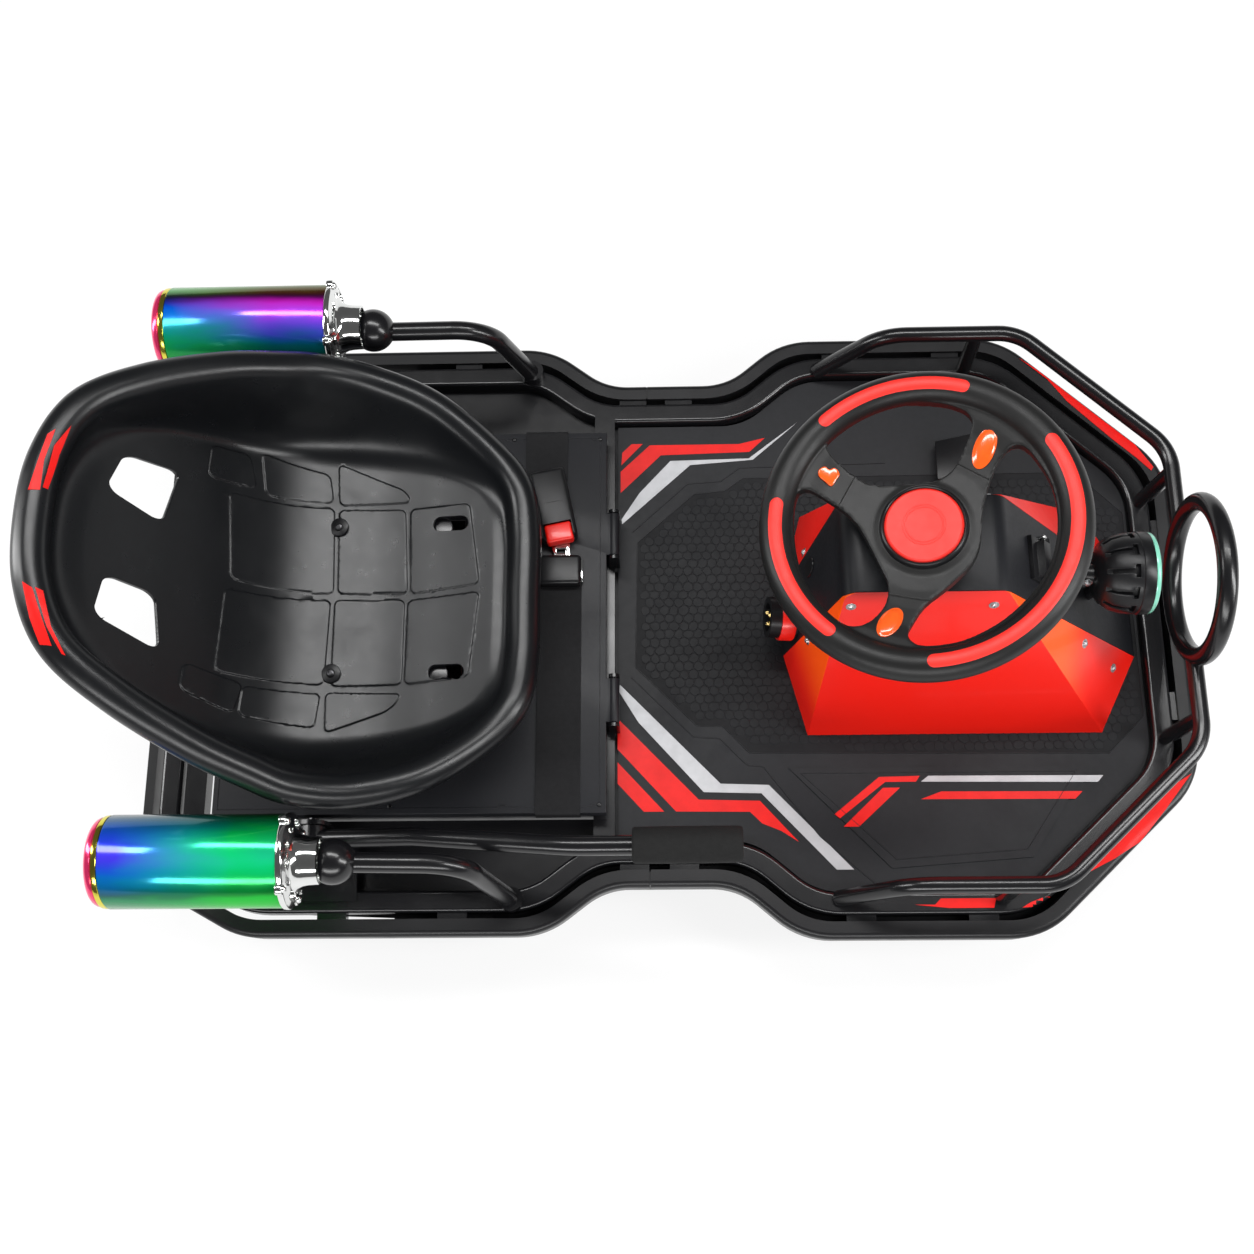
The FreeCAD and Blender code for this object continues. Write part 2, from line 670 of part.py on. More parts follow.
def floor_mat():
    inset = FRAME_INSET + FRAME_TUBE / 2 + MAT_EDGE
    face = plan_face(closed_outline(inset, -400.0), PAN_TOP, OUTLINE_BEND - FRAME_TUBE / 2)
    mat = face.extrude(v(0, 0, MAT_THICK))
    mat = mat.common(block(MAT_REAR_X, NOSE_X, -500, 500, 0, 300))
    hole = Part.makeCylinder(WHEEL_HOLE_R, 60, v(FORK_X, 0, PAN_TOP - 30))
    reach = BRIDGE_HALF_WIDTH + MAT_EDGE
    slot = block(BRIDGE_REAR_LOW_X - MAT_EDGE, BRIDGE_FRONT_X + MAT_EDGE, -reach, reach, 0, MAT_TOP + 1)
    panel = Part.makePolygon([v(x, y, PAN_TOP + 1) for x, y in FOOT_PANEL + FOOT_PANEL[:1]])
    panel = Part.Face(panel).extrude(v(0, 0, MAT_THICK - 1 + PANEL_RAISE))
    add("floor_mat", fuse([mat, panel]).cut(hole).cut(slot))


# ---------------------------------------------------------------- bumpers
def bumper_along(points, lip_points):
    z = BUMPER_TOP - BUMPER_HEIGHT / 2
    bars = []
    for path, section in ((points, bumper_section), (lip_points, lip_section)):
        wire = bent_wire([v(x, y, z) for x, y in path], OUTLINE_BEND)
        bars.append(bar_along(wire, section))
    return fuse(bars)


def bumpers():
    half = outline_half(BUMPER_THICK / 2)
    front_left = [p for p in half[1:] if p[0] > BUMPER_SEAM_X]
    waist_y = WAIST_HALF_WIDTH - BUMPER_THICK / 2
    seam_front = BUMPER_SEAM_X + SEAM_GAP / 2
    seam_rear = BUMPER_SEAM_X - SEAM_GAP / 2
    path = [(seam_front, -waist_y)]
    path += [(x, -y) for x, y in reversed(front_left)]
    path += front_left + [(seam_front, waist_y)]
    add("front_bumper", bumper_along(path, path))
    rear_left = [(seam_rear, waist_y)] + [p for p in half[1:] if p[0] < BUMPER_SEAM_X]
    lip_left = rear_left[:3] + [(LIP_END_X, rear_left[2][1])]
    left = bumper_along(rear_left, lip_left)
    add("rear_bumper_left", left)
    add("rear_bumper_right", mirror_y(left))
    bar_front = FRAME_REAR_X - FRAME_TUBE / 2 - BUMPER_GAP
    bar = block(bar_front - REAR_BAR_THICK, bar_front, -REAR_BAR_HALF, REAR_BAR_HALF,
                BUMPER_TOP - BUMPER_HEIGHT, BUMPER_TOP)
    upright = [edge for edge in bar.Edges if abs(edge.tangentAt(0).z) > 0.9]
    add("rear_bumper_middle", bar.makeFillet(REAR_BAR_THICK / 3, upright))


# ---------------------------------------------------------------- guard rail and hoop
def hoop_frame():
    lean = math.radians(HOOP_LEAN)
    up = v(math.sin(lean), 0, math.cos(lean))
    normal = v(math.cos(lean), 0, -math.sin(lean))
    below = HOOP_Z - RAIL_Z
    centre = v(NOSE_X - RAIL_NOSE_INSET + math.tan(lean) * below, 0, HOOP_Z)
    return centre, up, normal


def rail_points():
    """Left rail from its foot on the frame to the middle of the hoop's tube."""
    half = outline_half(RAIL_DIAGONAL_INSET)
    diagonal_x, diagonal_y = half[1]
    wide_x, wide_y = half[2]
    slope = (wide_x - diagonal_x) / (wide_y - diagonal_y)
    corner_x = wide_x + slope * (RAIL_HALF_WIDTH - wide_y)
    nose_x = NOSE_X - RAIL_NOSE_INSET
    nose_y = diagonal_y + (nose_x - diagonal_x) / slope
    end_y = math.sqrt(HOOP_R ** 2 - (HOOP_Z - RAIL_Z) ** 2)
    return [
        v(RAIL_FOOT_X, RAIL_HALF_WIDTH, FRAME_TOP),
        v(RAIL_RISE_X, RAIL_HALF_WIDTH, RAIL_Z),
        v(corner_x, RAIL_HALF_WIDTH, RAIL_Z),
        v(nose_x, nose_y, RAIL_Z),
        v(nose_x, end_y, RAIL_Z),
    ]


def guard_rail():
    """Two side rails and their posts, welded to the hoop that closes them at the nose."""
    rail = tube_along(bent_wire(rail_points(), RAIL_BEND), RAIL_R)
    nose_x = NOSE_X - RAIL_NOSE_INSET
    frame_x = NOSE_X - FRAME_INSET
    foot = v(SIDE_POST_X, RAIL_HALF_WIDTH, FRAME_TOP)
    side_post = rod(foot, v(foot.x, foot.y, RAIL_Z), POST_R)
    front_post = rod(v(frame_x, FRONT_POST_Y, FRAME_TOP - 8), v(nose_x, FRONT_POST_Y, RAIL_Z), POST_R)
    centre, up, normal = hoop_frame()
    ring = Part.makeTorus(HOOP_R, HOOP_TUBE_R, centre, normal)
    bore = rail_bore(centre, normal)
    left = [solid.cut(bore) for solid in (rail, side_post, front_post)]
    floor = block(-900, 900, -500, 500, 0, FRAME_TOP)
    add("guard_rail", fuse([ring] + left + [mirror_y(solid) for solid in left]).cut(floor))


def rail_bore(centre, normal):
    """Space inside the hoop, which the rails' ends stop short of."""
    return Part.makeCylinder(HOOP_R - HOOP_TUBE_R / 2, 80, centre - normal * 40, normal)


# ---------------------------------------------------------------- console
def console_planes(inset):
    """Outward planes of the console's folded sides and top, moved inwards by the inset."""
    z0 = MAT_TOP
    z1 = CONSOLE_TOP_Z
    base = [
        v(CONSOLE_BASE_REAR, CONSOLE_BASE_REAR_HALF, z0),
        v(CONSOLE_SIDE_REAR, CONSOLE_SIDE_HALF, z0),
        v(CONSOLE_SIDE_FRONT, CONSOLE_SIDE_HALF, z0),
        v(CONSOLE_BASE_FRONT, CONSOLE_BASE_FRONT_HALF, z0),
    ]
    top_rear = v(CONSOLE_TOP_REAR, CONSOLE_TOP_HALF, z1)
    top_front = v(CONSOLE_TOP_FRONT, CONSOLE_TOP_HALF, z1)
    triples = [
        (base[0], base[1], top_rear),
        (base[1], base[2], top_rear),
        (base[2], base[3], top_front),
    ]
    inside = v((CONSOLE_TOP_REAR + CONSOLE_TOP_FRONT) / 2, 0, (z0 + z1) / 2)
    planes = []
    for a, b, c in triples:
        normal = (b - a).cross(c - a).normalize()
        if normal.dot(a - inside) < 0:
            normal = normal * -1
        planes.append((a, normal))
    planes += [(v(p.x, -p.y, p.z), v(n.x, -n.y, n.z)) for p, n in planes]
    for low_x, high_x, direction in ((CONSOLE_BASE_REAR, CONSOLE_TOP_REAR, -1),
                                     (CONSOLE_BASE_FRONT, CONSOLE_TOP_FRONT, 1)):
        rise = v(high_x - low_x, 0, z1 - z0)
        normal = v(direction * rise.z, 0, -direction * rise.x).normalize()
        planes.append((v(low_x, 0, z0), normal))
    planes.append((v(0, 0, z1), v(0, 0, 1)))
    return [(point - normal * inset, normal) for point, normal in planes]


def hood_plan(grow):
    half = [
        (CONSOLE_BASE_REAR - 20, CONSOLE_BASE_REAR_HALF + grow),
        (CONSOLE_BASE_REAR, CONSOLE_BASE_REAR_HALF + grow),
        (CONSOLE_TOP_REAR, CONSOLE_TOP_HALF + grow),
        (CONSOLE_TOP_FRONT, CONSOLE_TOP_HALF + grow),
        (CONSOLE_BASE_FRONT, CONSOLE_BASE_FRONT_HALF + grow),
        (CONSOLE_BASE_FRONT + 20, CONSOLE_BASE_FRONT_HALF + grow),
    ]
    points = half + [(x, -y) for x, y in reversed(half)]
    wire = Part.makePolygon([v(x, y, 0) for x, y in points + points[:1]])
    return Part.Face(wire).extrude(v(0, 0, 600))


def column_bush():
    top = STEER_CROSS + STEER_AXIS * HOOD_DISTANCE
    return rod(top - STEER_AXIS * BUSH_BELOW, top + STEER_AXIS * BUSH_ABOVE, BUSH_R)


def console_solid(inset):
    """Folded console as a block, its two top cross folds bent to a radius."""
    limits = (0.0, NOSE_X, -FRONT_HALF_WIDTH, FRONT_HALF_WIDTH, MAT_TOP, CONSOLE_TOP_Z + SHEET)
    solid = convex_solid(console_planes(inset), limits)
    folds = []
    for edge in solid.Edges:
        ends = [vertex.Point for vertex in edge.Vertexes]
        level = all(abs(end.z - CONSOLE_TOP_Z + inset) < 0.01 for end in ends)
        if level and abs(ends[0].x - ends[1].x) < 0.01:
            folds.append(edge)
    return solid.makeFillet(HOOD_BEND - inset, folds)


def console():
    shell = console_solid(0.0).cut(console_solid(SHEET))
    bore = rod(STEER_CROSS, STEER_CROSS + STEER_AXIS * (HOOD_DISTANCE + RIM_ABOVE_HOOD),
               COLUMN_R + RUNNING)
    hood = fuse([shell.common(hood_plan(0.0)), column_bush()]).cut(bore)
    add("console_hood", hood)
    sides = shell.cut(hood_plan(PANEL_GAP))
    left = sides.common(block(0, 700, 0, 300, 0, 500))
    add("console_fairing_left", left)
    add("console_fairing_right", mirror_y(left))


def headlamp():
    centre = v(LAMP_REAR_X, 0, LAMP_Z)
    ahead = v(1, 0, 0)
    rim_x = LAMP_FRONT_X - LAMP_RIM
    body = rod(centre, v(rim_x + LAMP_RIM_LAP, 0, LAMP_Z), LAMP_R - LAMP_CORE_INSET)
    rim = rod(v(rim_x, 0, LAMP_Z), v(LAMP_FRONT_X, 0, LAMP_Z), LAMP_R)
    seat = rod(v(LAMP_FRONT_X - LENS_THICK, 0, LAMP_Z), v(LAMP_FRONT_X + 1, 0, LAMP_Z), LENS_R)
    fins = []
    thick, foot, top = LAMP_FIN
    for i in range(LAMP_FINS):
        fin = block(LAMP_REAR_X + LENS_THICK / 2, rim_x - LENS_THICK / 2, -thick / 2, thick / 2,
                    LAMP_Z + LAMP_R - foot, LAMP_Z + LAMP_R - top)
        fins.append(turned(fin, centre, ahead, 360 * i / LAMP_FINS))
    slope = (CONSOLE_BASE_FRONT - CONSOLE_TOP_FRONT) / (CONSOLE_TOP_Z - MAT_TOP)
    foot_z = LAMP_Z - LAMP_R - LAMP_POST_DROP
    foot_x = CONSOLE_TOP_FRONT + (CONSOLE_TOP_Z - foot_z) * slope
    inside_hood = v(foot_x - 1.5 * LAMP_POST_R, 0, foot_z - 2 * LAMP_POST_R)
    post = rod(inside_hood, centre + v(30, 0, -20), LAMP_POST_R)
    body = fuse([body, rim, post] + fins).cut(seat)
    body = body.cut(console_solid(0.0))
    add("headlamp_housing", body)
    add("headlamp_lens", rod(v(LAMP_FRONT_X - LENS_THICK, 0, LAMP_Z),
                             v(LAMP_FRONT_X + LENS_PROUD, 0, LAMP_Z), LENS_R - LENS_FIT))


def hood_latch():
    rise = v(CONSOLE_TOP_FRONT - CONSOLE_BASE_FRONT, 0, CONSOLE_TOP_Z - MAT_TOP)
    down = v(-rise.x, 0, -rise.z).normalize()
    out = v(rise.z, 0, -rise.x).normalize()
    corner = v(CONSOLE_TOP_FRONT, 0, CONSOLE_TOP_Z) + down * LATCH_DROP
    length, width, thick = LATCH_PLATE
    plate = Part.makeBox(length, width, thick, v(0, -width / 2, 0))
    arm = width / 2 - thick
    handle = Part.makeBox(length / 3, 2 * arm, LATCH_RISE, v(length / 4, -arm, 0))
    pin_x = length * 0.7
    pin = rod(v(pin_x, -width / 2 - LATCH_PIN_R, thick + LATCH_PIN_R),
              v(pin_x, width / 2 + LATCH_PIN_R, thick + LATCH_PIN_R), LATCH_PIN_R + 1)
    latch = fuse([plate, handle, pin])
    turn = FreeCAD.Rotation(down, v(0, 1, 0), out, "ZXY")
    latch.Placement = FreeCAD.Placement(corner, turn)
    add("hood_latch", latch)


def charge_socket():
    """Round three-pin socket on a stub, square to the console's rear slope."""
    rise = v(CONSOLE_TOP_REAR - CONSOLE_BASE_REAR, 0, CONSOLE_TOP_Z - MAT_TOP).normalize()
    out = v(-rise.z, 0, rise.x)
    seat = v(CONSOLE_BASE_REAR, SOCKET_Y, MAT_TOP) + rise * ((SOCKET_Z - MAT_TOP) / rise.z)
    mouth = seat + out * SOCKET_LENGTH
    body = rod(seat, mouth, SOCKET_R)
    well = rod(mouth - out * SOCKET_DEPTH, mouth + out, SOCKET_PLUG_R)
    body = body.cut(well)
    pins = []
    for i in range(3):
        foot = mouth - out * (SOCKET_DEPTH + 1) + v(0, SOCKET_PIN_CIRCLE, 0)
        pin = rod(foot, foot + out * (SOCKET_DEPTH - 1), SOCKET_PIN_R)
        pins.append(turned(pin, mouth, out, 120 * i))
    add("charge_socket", fuse([body] + pins))


# ---------------------------------------------------------------- steering
def steering_bridge():
    """Bent plate that arches over the front wheel and holds its upright bearing."""
    outer = [
        v(BRIDGE_REAR_LOW_X, 0, PAN_TOP),
        v(BRIDGE_REAR_HIGH_X, 0, BRIDGE_TOP),
        v(BRIDGE_FRONT_X, 0, BRIDGE_TOP),
        v(BRIDGE_FRONT_X, 0, PAN_TOP),
    ]
    t = BRIDGE_THICK
    inner = [
        v(BRIDGE_FRONT_X - t, 0, PAN_TOP),
        v(BRIDGE_FRONT_X - t, 0, BRIDGE_TOP - t),
        v(BRIDGE_REAR_HIGH_X + t, 0, BRIDGE_TOP - t),
        v(BRIDGE_REAR_LOW_X + t, 0, PAN_TOP),
    ]
    outline = Part.makePolygon(outer + inner + outer[:1])
    outline.translate(v(0, -BRIDGE_HALF_WIDTH, 0))
    plate = Part.Face(outline).extrude(v(0, 2 * BRIDGE_HALF_WIDTH, 0))
    housing = Part.makeCylinder(BEARING_R, BEARING_TOP - BRIDGE_TOP + t, v(FORK_X, 0, BRIDGE_TOP - t))
    bore = Part.makeCylinder(STEERER_R + RUNNING, 200, v(FORK_X, 0, BRIDGE_TOP - 60))
    add("steering_bridge", fuse([plate, housing]).cut(bore))


def spoke(angle):
    """Flat arm in the wheel's own plane, wide at the hub and at the rim."""
    middle = (HUB_R + RIM_R) / 2
    drop = RIM_DISH
    points = [
        v(HUB_R * 0.6, SPOKE_ROOT, 0), v(middle, SPOKE_WAIST, 0), v(RIM_R, SPOKE_TIP, 0),
        v(RIM_R, -SPOKE_TIP, 0), v(middle, -SPOKE_WAIST, 0), v(HUB_R * 0.6, -SPOKE_ROOT, 0),
    ]
    left = Part.BSplineCurve()
    left.interpolate(points[:3])
    right = Part.BSplineCurve()
    right.interpolate(points[3:])
    wire = Part.Wire([
        left.toShape(), Part.makeLine(points[2], points[3]),
        right.toShape(), Part.makeLine(points[5], points[0]),
    ])
    arm = Part.Face(wire).extrude(v(0, 0, SPOKE_THICK))
    tilt = math.degrees(math.atan2(drop, RIM_R))
    arm.translate(v(0, 0, -drop - SPOKE_THICK / 2))
    arm = turned(arm, v(0, 0, -drop), v(0, 1, 0), -tilt)
    return turned(arm, v(0, 0, 0), v(0, 0, 1), angle)


def to_column(shape):
    """From the wheel's own frame, Z along the column, to its place."""
    copy = shape.copy()
    copy.Placement = FreeCAD.Placement(RIM_CENTRE, FreeCAD.Rotation(v(0, 1, 0), -STEER_RAKE))
    return copy


def steering():
    rim = Part.makeTorus(RIM_R, RIM_TUBE_R)
    hub = Part.makeCylinder(HUB_R, HUB_THICK, v(0, 0, HUB_BOTTOM))
    keep = Part.makeCylinder(RIM_R, 200, v(0, 0, -120))
    above_cap = Part.makeCylinder(CAP_R, 60, v(0, 0, HUB_TOP))
    spokes = [spoke(angle).common(keep).cut(above_cap) for angle in SPOKE_ANGLES]
    socket_depth = HUB_THICK - RIM_DISH / 2
    socket = Part.makeCylinder(COLUMN_R, socket_depth, v(0, 0, HUB_BOTTOM))
    wheel = fuse([rim, hub] + spokes).cut(socket)
    add("steering_wheel", to_column(wheel))
    cap = Part.makeCylinder(CAP_R - REST_GAP, CAP_THICK, v(0, 0, HUB_TOP))
    cap = cap.makeChamfer(CAP_EDGE, [cap.Edges[0]])
    add("steering_hub_cap", to_column(cap))
    low = COLUMN_FOOT - RIM_DISTANCE
    column = Part.makeCylinder(COLUMN_R, HUB_BOTTOM + socket_depth - low, v(0, 0, low))
    collar_low = BUSH_ABOVE - RIM_ABOVE_HOOD + REST_GAP
    collar = Part.makeCylinder(COLUMN_R + COLLAR_WALL, HUB_BOTTOM - collar_low, v(0, 0, collar_low))
    add("steering_column", to_column(fuse([column, collar])))


def front_fork():
    leg_y = WHEEL_WIDTH / 2 + FORK_GAP
    solids = []
    for side in (-1, 1):
        y0 = min(side * leg_y, side * (leg_y + FORK_LEG))
        y1 = y0 + FORK_LEG
        solids.append(block(FORK_X - FORK_LEG_WIDTH / 2, FORK_X + FORK_LEG_WIDTH / 2, y0, y1,
                            WHEEL_R, CROWN_Z + CROWN_THICK))
        solids.append(rod(v(FORK_X, y0, WHEEL_R), v(FORK_X, y1, WHEEL_R), FORK_LEG_WIDTH / 2))
    solids.append(block(FORK_X - FORK_LEG_WIDTH / 2, FORK_X + FORK_LEG_WIDTH / 2,
                        -leg_y - WELD_LAP, leg_y + WELD_LAP, CROWN_Z, CROWN_Z + CROWN_THICK))
    solids.append(Part.makeCylinder(BEARING_R, BRIDGE_TOP - BRIDGE_THICK - CROWN_Z - CROWN_GAP,
                                    v(FORK_X, 0, CROWN_Z)))
    solids.append(Part.makeCylinder(STEERER_R, BEARING_TOP - CROWN_Z, v(FORK_X, 0, CROWN_Z)))
    bore = rod(v(FORK_X, -100, WHEEL_R), v(FORK_X, 100, WHEEL_R), AXLE_R + RUNNING)
    fork = fuse(solids).cut(bore)
    add("front_fork", turned(fork, v(FORK_X, 0, 0), v(0, 0, 1), WHEEL_TURNED))


def wheel_solid(profile, centre):
    """Revolve an (across, radius) outline about the wheel's own Y axis."""
    wire = Part.makePolygon([v(0, y, r) for y, r in profile + profile[:1]])
    solid = Part.Face(wire).revolve(v(0, 0, 0), v(0, 1, 0), 360)
    solid.translate(centre)
    return solid


def front_wheel():
    half = WHEEL_WIDTH / 2
    centre = v(FORK_X, 0, WHEEL_R)
    shoulder, tread = TYRE_WALL_IN
    tyre_side = [
        (half - BEAD_DEPTH, HUB_MOTOR_R), (half, HUB_MOTOR_R + 4), (half, WHEEL_R - TYRE_SHOULDER),
        (half - shoulder, WHEEL_R - TYRE_CROWN), (half - tread, WHEEL_R),
    ]
    tyre = wheel_solid([(-y, r) for y, r in tyre_side] + tyre_side[::-1], centre)
    reach = half + FORK_GAP + FORK_LEG + AXLE_PROUD
    boss = half + MOTOR_BOSS_PROUD
    inner = half - 1
    hub_side = [
        (reach, 0), (reach, AXLE_R), (boss, AXLE_R), (boss, MOTOR_BOSS_R - 4), (inner, MOTOR_BOSS_R),
        (inner, HUB_MOTOR_R - BEAD_DEPTH), (half - BEAD_DEPTH, HUB_MOTOR_R),
    ]
    hub = wheel_solid([(-y, r) for y, r in hub_side] + hub_side[::-1], centre)
    for name, solid in (("front_tyre", tyre), ("front_hub", hub)):
        add(name, turned(solid, v(FORK_X, 0, 0), v(0, 0, 1), WHEEL_TURNED))


# ---------------------------------------------------------------- seat box and lid
def seat_box():
    outer = block(BOX_REAR_X, BOX_FRONT_X, -BOX_HALF_WIDTH, BOX_HALF_WIDTH, BOX_BOTTOM, BOX_TOP)
    inner = block(BOX_REAR_X + SHEET, BOX_FRONT_X - SHEET, -BOX_HALF_WIDTH + SHEET,
                  BOX_HALF_WIDTH - SHEET, BOX_BOTTOM + SHEET, BOX_TOP + 1)
    add("seat_box", outer.cut(inner))
    length, width, height = BATTERY_SIZE
    floor = BOX_BOTTOM + SHEET
    add("battery_pack", block(BATTERY_X - length / 2, BATTERY_X + length / 2,
                              -width / 2, width / 2, floor, floor + height))


def seat_lid():
    top = block(LID_REAR_X, LID_FRONT_X, -LID_HALF_WIDTH, LID_HALF_WIDTH,
                LID_TOP - LID_THICK, LID_TOP)
    skirts = []
    low = LID_TOP - LID_THICK - LID_SKIRT
    for side in (-1, 1):
        y0 = min(side * LID_HALF_WIDTH, side * (LID_HALF_WIDTH - SHEET))
        skirts.append(block(LID_REAR_X, LID_FRONT_X, y0, y0 + SHEET, low, LID_TOP))
    skirts.append(block(LID_REAR_X, LID_REAR_X + SHEET, -LID_HALF_WIDTH, LID_HALF_WIDTH, low, LID_TOP))
    knuckles = []
    bores = []
    for middle in (-HINGE_Y, HINGE_Y):
        y0 = middle - HINGE_HALF_LENGTH + EAR_THICK + 1
        y1 = middle + HINGE_HALF_LENGTH - EAR_THICK - 1
        knuckles.append(rod(v(HINGE_X, y0, HINGE_Z), v(HINGE_X, y1, HINGE_Z), HINGE_KNUCKLE_R))
        knuckles.append(block(LID_FRONT_X - 2, HINGE_X, y0, y1, LID_TOP - LID_THICK, LID_TOP))
        bores.append(rod(v(HINGE_X, y0 - 9, HINGE_Z), v(HINGE_X, y1 + 9, HINGE_Z),
                         HINGE_PIN_R + RUNNING))
    lid = fuse([top] + skirts + knuckles)
    for bore in bores:
        lid = lid.cut(bore)
    add("seat_lid", lid)


# ---------------------------------------------------------------- seat
def seat_section(station):
    """Closed outline across the shell: flat pan, splayed sides, rolled top edges."""
    x, z, half, height, lean = station
    angle = math.radians(lean)
    up = v(math.sin(angle), 0, math.cos(angle))
    base = v(x, 0, z)

    def place(y, rise):
        return base + v(0, y, 0) + up * rise

    flat = half * SEAT_FLAT
    knee = (half * SEAT_KNEE, height * SEAT_KNEE_RISE)
    bead = half - SEAT_BEAD_R
    lip = bead + SEAT_BEAD_R * math.cos(math.radians(SEAT_LIP))
    lip_rise = height - SEAT_BEAD_R * math.sin(math.radians(SEAT_LIP))
    side = [(flat, 0.0), knee, (bead - SEAT_BEAD_R, height)]
    under = [(lip, lip_rise), (bead - SEAT_BEAD_R + SEAT_WALL, lip_rise),
             (knee[0] + SEAT_WALL, knee[1] - SEAT_WALL), (flat, -SEAT_WALL)]
    edges = []
    for sign in (1, -1):
        inner = [place(sign * y, rise) for y, rise in side]
        outer = [place(sign * y, rise) for y, rise in under]
        top = place(sign * bead, height + SEAT_BEAD_R)
        half_edges = [Part.makeLine(a, b) for a, b in zip(inner, inner[1:])]
        half_edges.append(Part.Arc(inner[-1], top, outer[0]).toShape())
        half_edges += [Part.makeLine(a, b) for a, b in zip(outer, outer[1:])]
        edges.append(half_edges)
    pan = Part.makeLine(place(-flat, 0), place(flat, 0))
    belly = Part.makeLine(place(flat, -SEAT_WALL), place(-flat, -SEAT_WALL))
    return Part.Wire([pan] + edges[0] + [belly] + edges[1][::-1])


def end_bead(station, bow):
    """Rolled edge across the front or the top, with a ball at each end."""
    x, z, half, height, lean = station
    angle = math.radians(lean)
    reach = half - SEAT_BEAD_R
    left = v(x, reach, z) + v(math.sin(angle), 0, math.cos(angle)) * (height - SEAT_BEAD_R / 2)
    right = v(left.x, -reach, left.z)
    curve = Part.Arc(left, v(x, 0, z) + bow, right).toShape()
    balls = [Part.makeSphere(SEAT_BEAD_R, end) for end in (left, right)]
    return [tube_along(Part.Wire([curve]), SEAT_BEAD_R)] + balls


def back_hole(side):
    """Square hole with round corners, through the leaning backrest."""
    length, width = SEAT_HOLE
    hole = Part.makeBox(length, width, 2 * SEAT_CUT_HEIGHT, v(-length / 2, -width / 2, -SEAT_CUT_HEIGHT))
    upright = [edge for edge in hole.Edges if abs(edge.tangentAt(edge.FirstParameter).z) > 0.9]
    hole = hole.makeFillet(SEAT_HOLE_CORNER, upright)
    hole.rotate(v(0, 0, 0), v(0, 1, 0), SEAT_HOLE_LEAN)
    hole.translate(v(SEAT_HOLE_X, side * SEAT_HOLE_Y, SEAT_HOLE_Z))
    return hole


def belt_slot(side):
    """Oblong hole near the front of the pan."""
    half = (SEAT_SLOT_LENGTH - SEAT_SLOT_WIDTH) / 2
    radius = SEAT_SLOT_WIDTH / 2
    y = side * SEAT_BOLT_Y
    places = [v(SEAT_SLOT_X + x, y, SEAT_BELOW) for x in (-half, half)]
    ends = [Part.makeCylinder(radius, SEAT_CUT_HEIGHT, place) for place in places]
    middle = block(SEAT_SLOT_X - half, SEAT_SLOT_X + half, y - radius, y + radius,
                   SEAT_BELOW, SEAT_BELOW + SEAT_CUT_HEIGHT)
    return fuse(ends + [middle])


def seat_shell():
    wires = [seat_section(station) for station in SEAT_STATIONS]
    shell = Part.makeLoft(wires, True, False)
    if shell.Volume < 0:
        shell.reverse()
    seat = shell
    ends = ((SEAT_STATIONS[0], v(SEAT_FRONT_BOW, 0, -SEAT_FRONT_SAG)),
            (SEAT_STATIONS[-1], v(-SEAT_REAR_BOW, 0, SEAT_REAR_BOW)))
    for station, bow in ends:
        for bead in end_bead(station, bow):
            seat = seat.fuse(bead)
    moulding = seat
    cuts = []
    for side in (-1, 1):
        cuts += [back_hole(side), belt_slot(side)]
        bolt = v(SEAT_BOLT_X, side * SEAT_BOLT_Y, SEAT_BELOW)
        cuts.append(Part.makeCylinder(SEAT_BOLT_HOLE_R, SEAT_CUT_HEIGHT, bolt))
    for cut in cuts:
        seat = seat.cut(cut)
    add("seat_shell", seat)
    return moulding


def seat_riser(moulding):
    rails = []
    low = LID_TOP
    half = RISER_WIDTH / 2
    for side in (-1, 1):
        y = side * SEAT_BOLT_Y
        outer = block(RISER_REAR_X, RISER_FRONT_X, y - half, y + half, low, RISER_TOP)
        inner = block(RISER_REAR_X - 1, RISER_FRONT_X + 1, y - half + SHEET, y + half - SHEET,
                      low + SHEET, RISER_TOP - SHEET)
        rails.append(outer.cut(inner))
        for x in (SEAT_BOLT_X, RISER_FRONT_X - PAD_SET_BACK):
            rails.append(Part.makeCylinder(PAD_R, 60, v(x, y, RISER_TOP - SHEET)))
    cross = block(SEAT_BOLT_X - RISER_CROSS_HALF, SEAT_BOLT_X + RISER_CROSS_HALF, -SEAT_BOLT_Y, SEAT_BOLT_Y,
                  RISER_TOP - SHEET, RISER_TOP)
    riser = fuse(rails + [cross])
    solids = riser.cut(moulding).Solids
    solids.sort(key=lambda solid: solid.Volume)
    add("seat_riser", solids[-1])


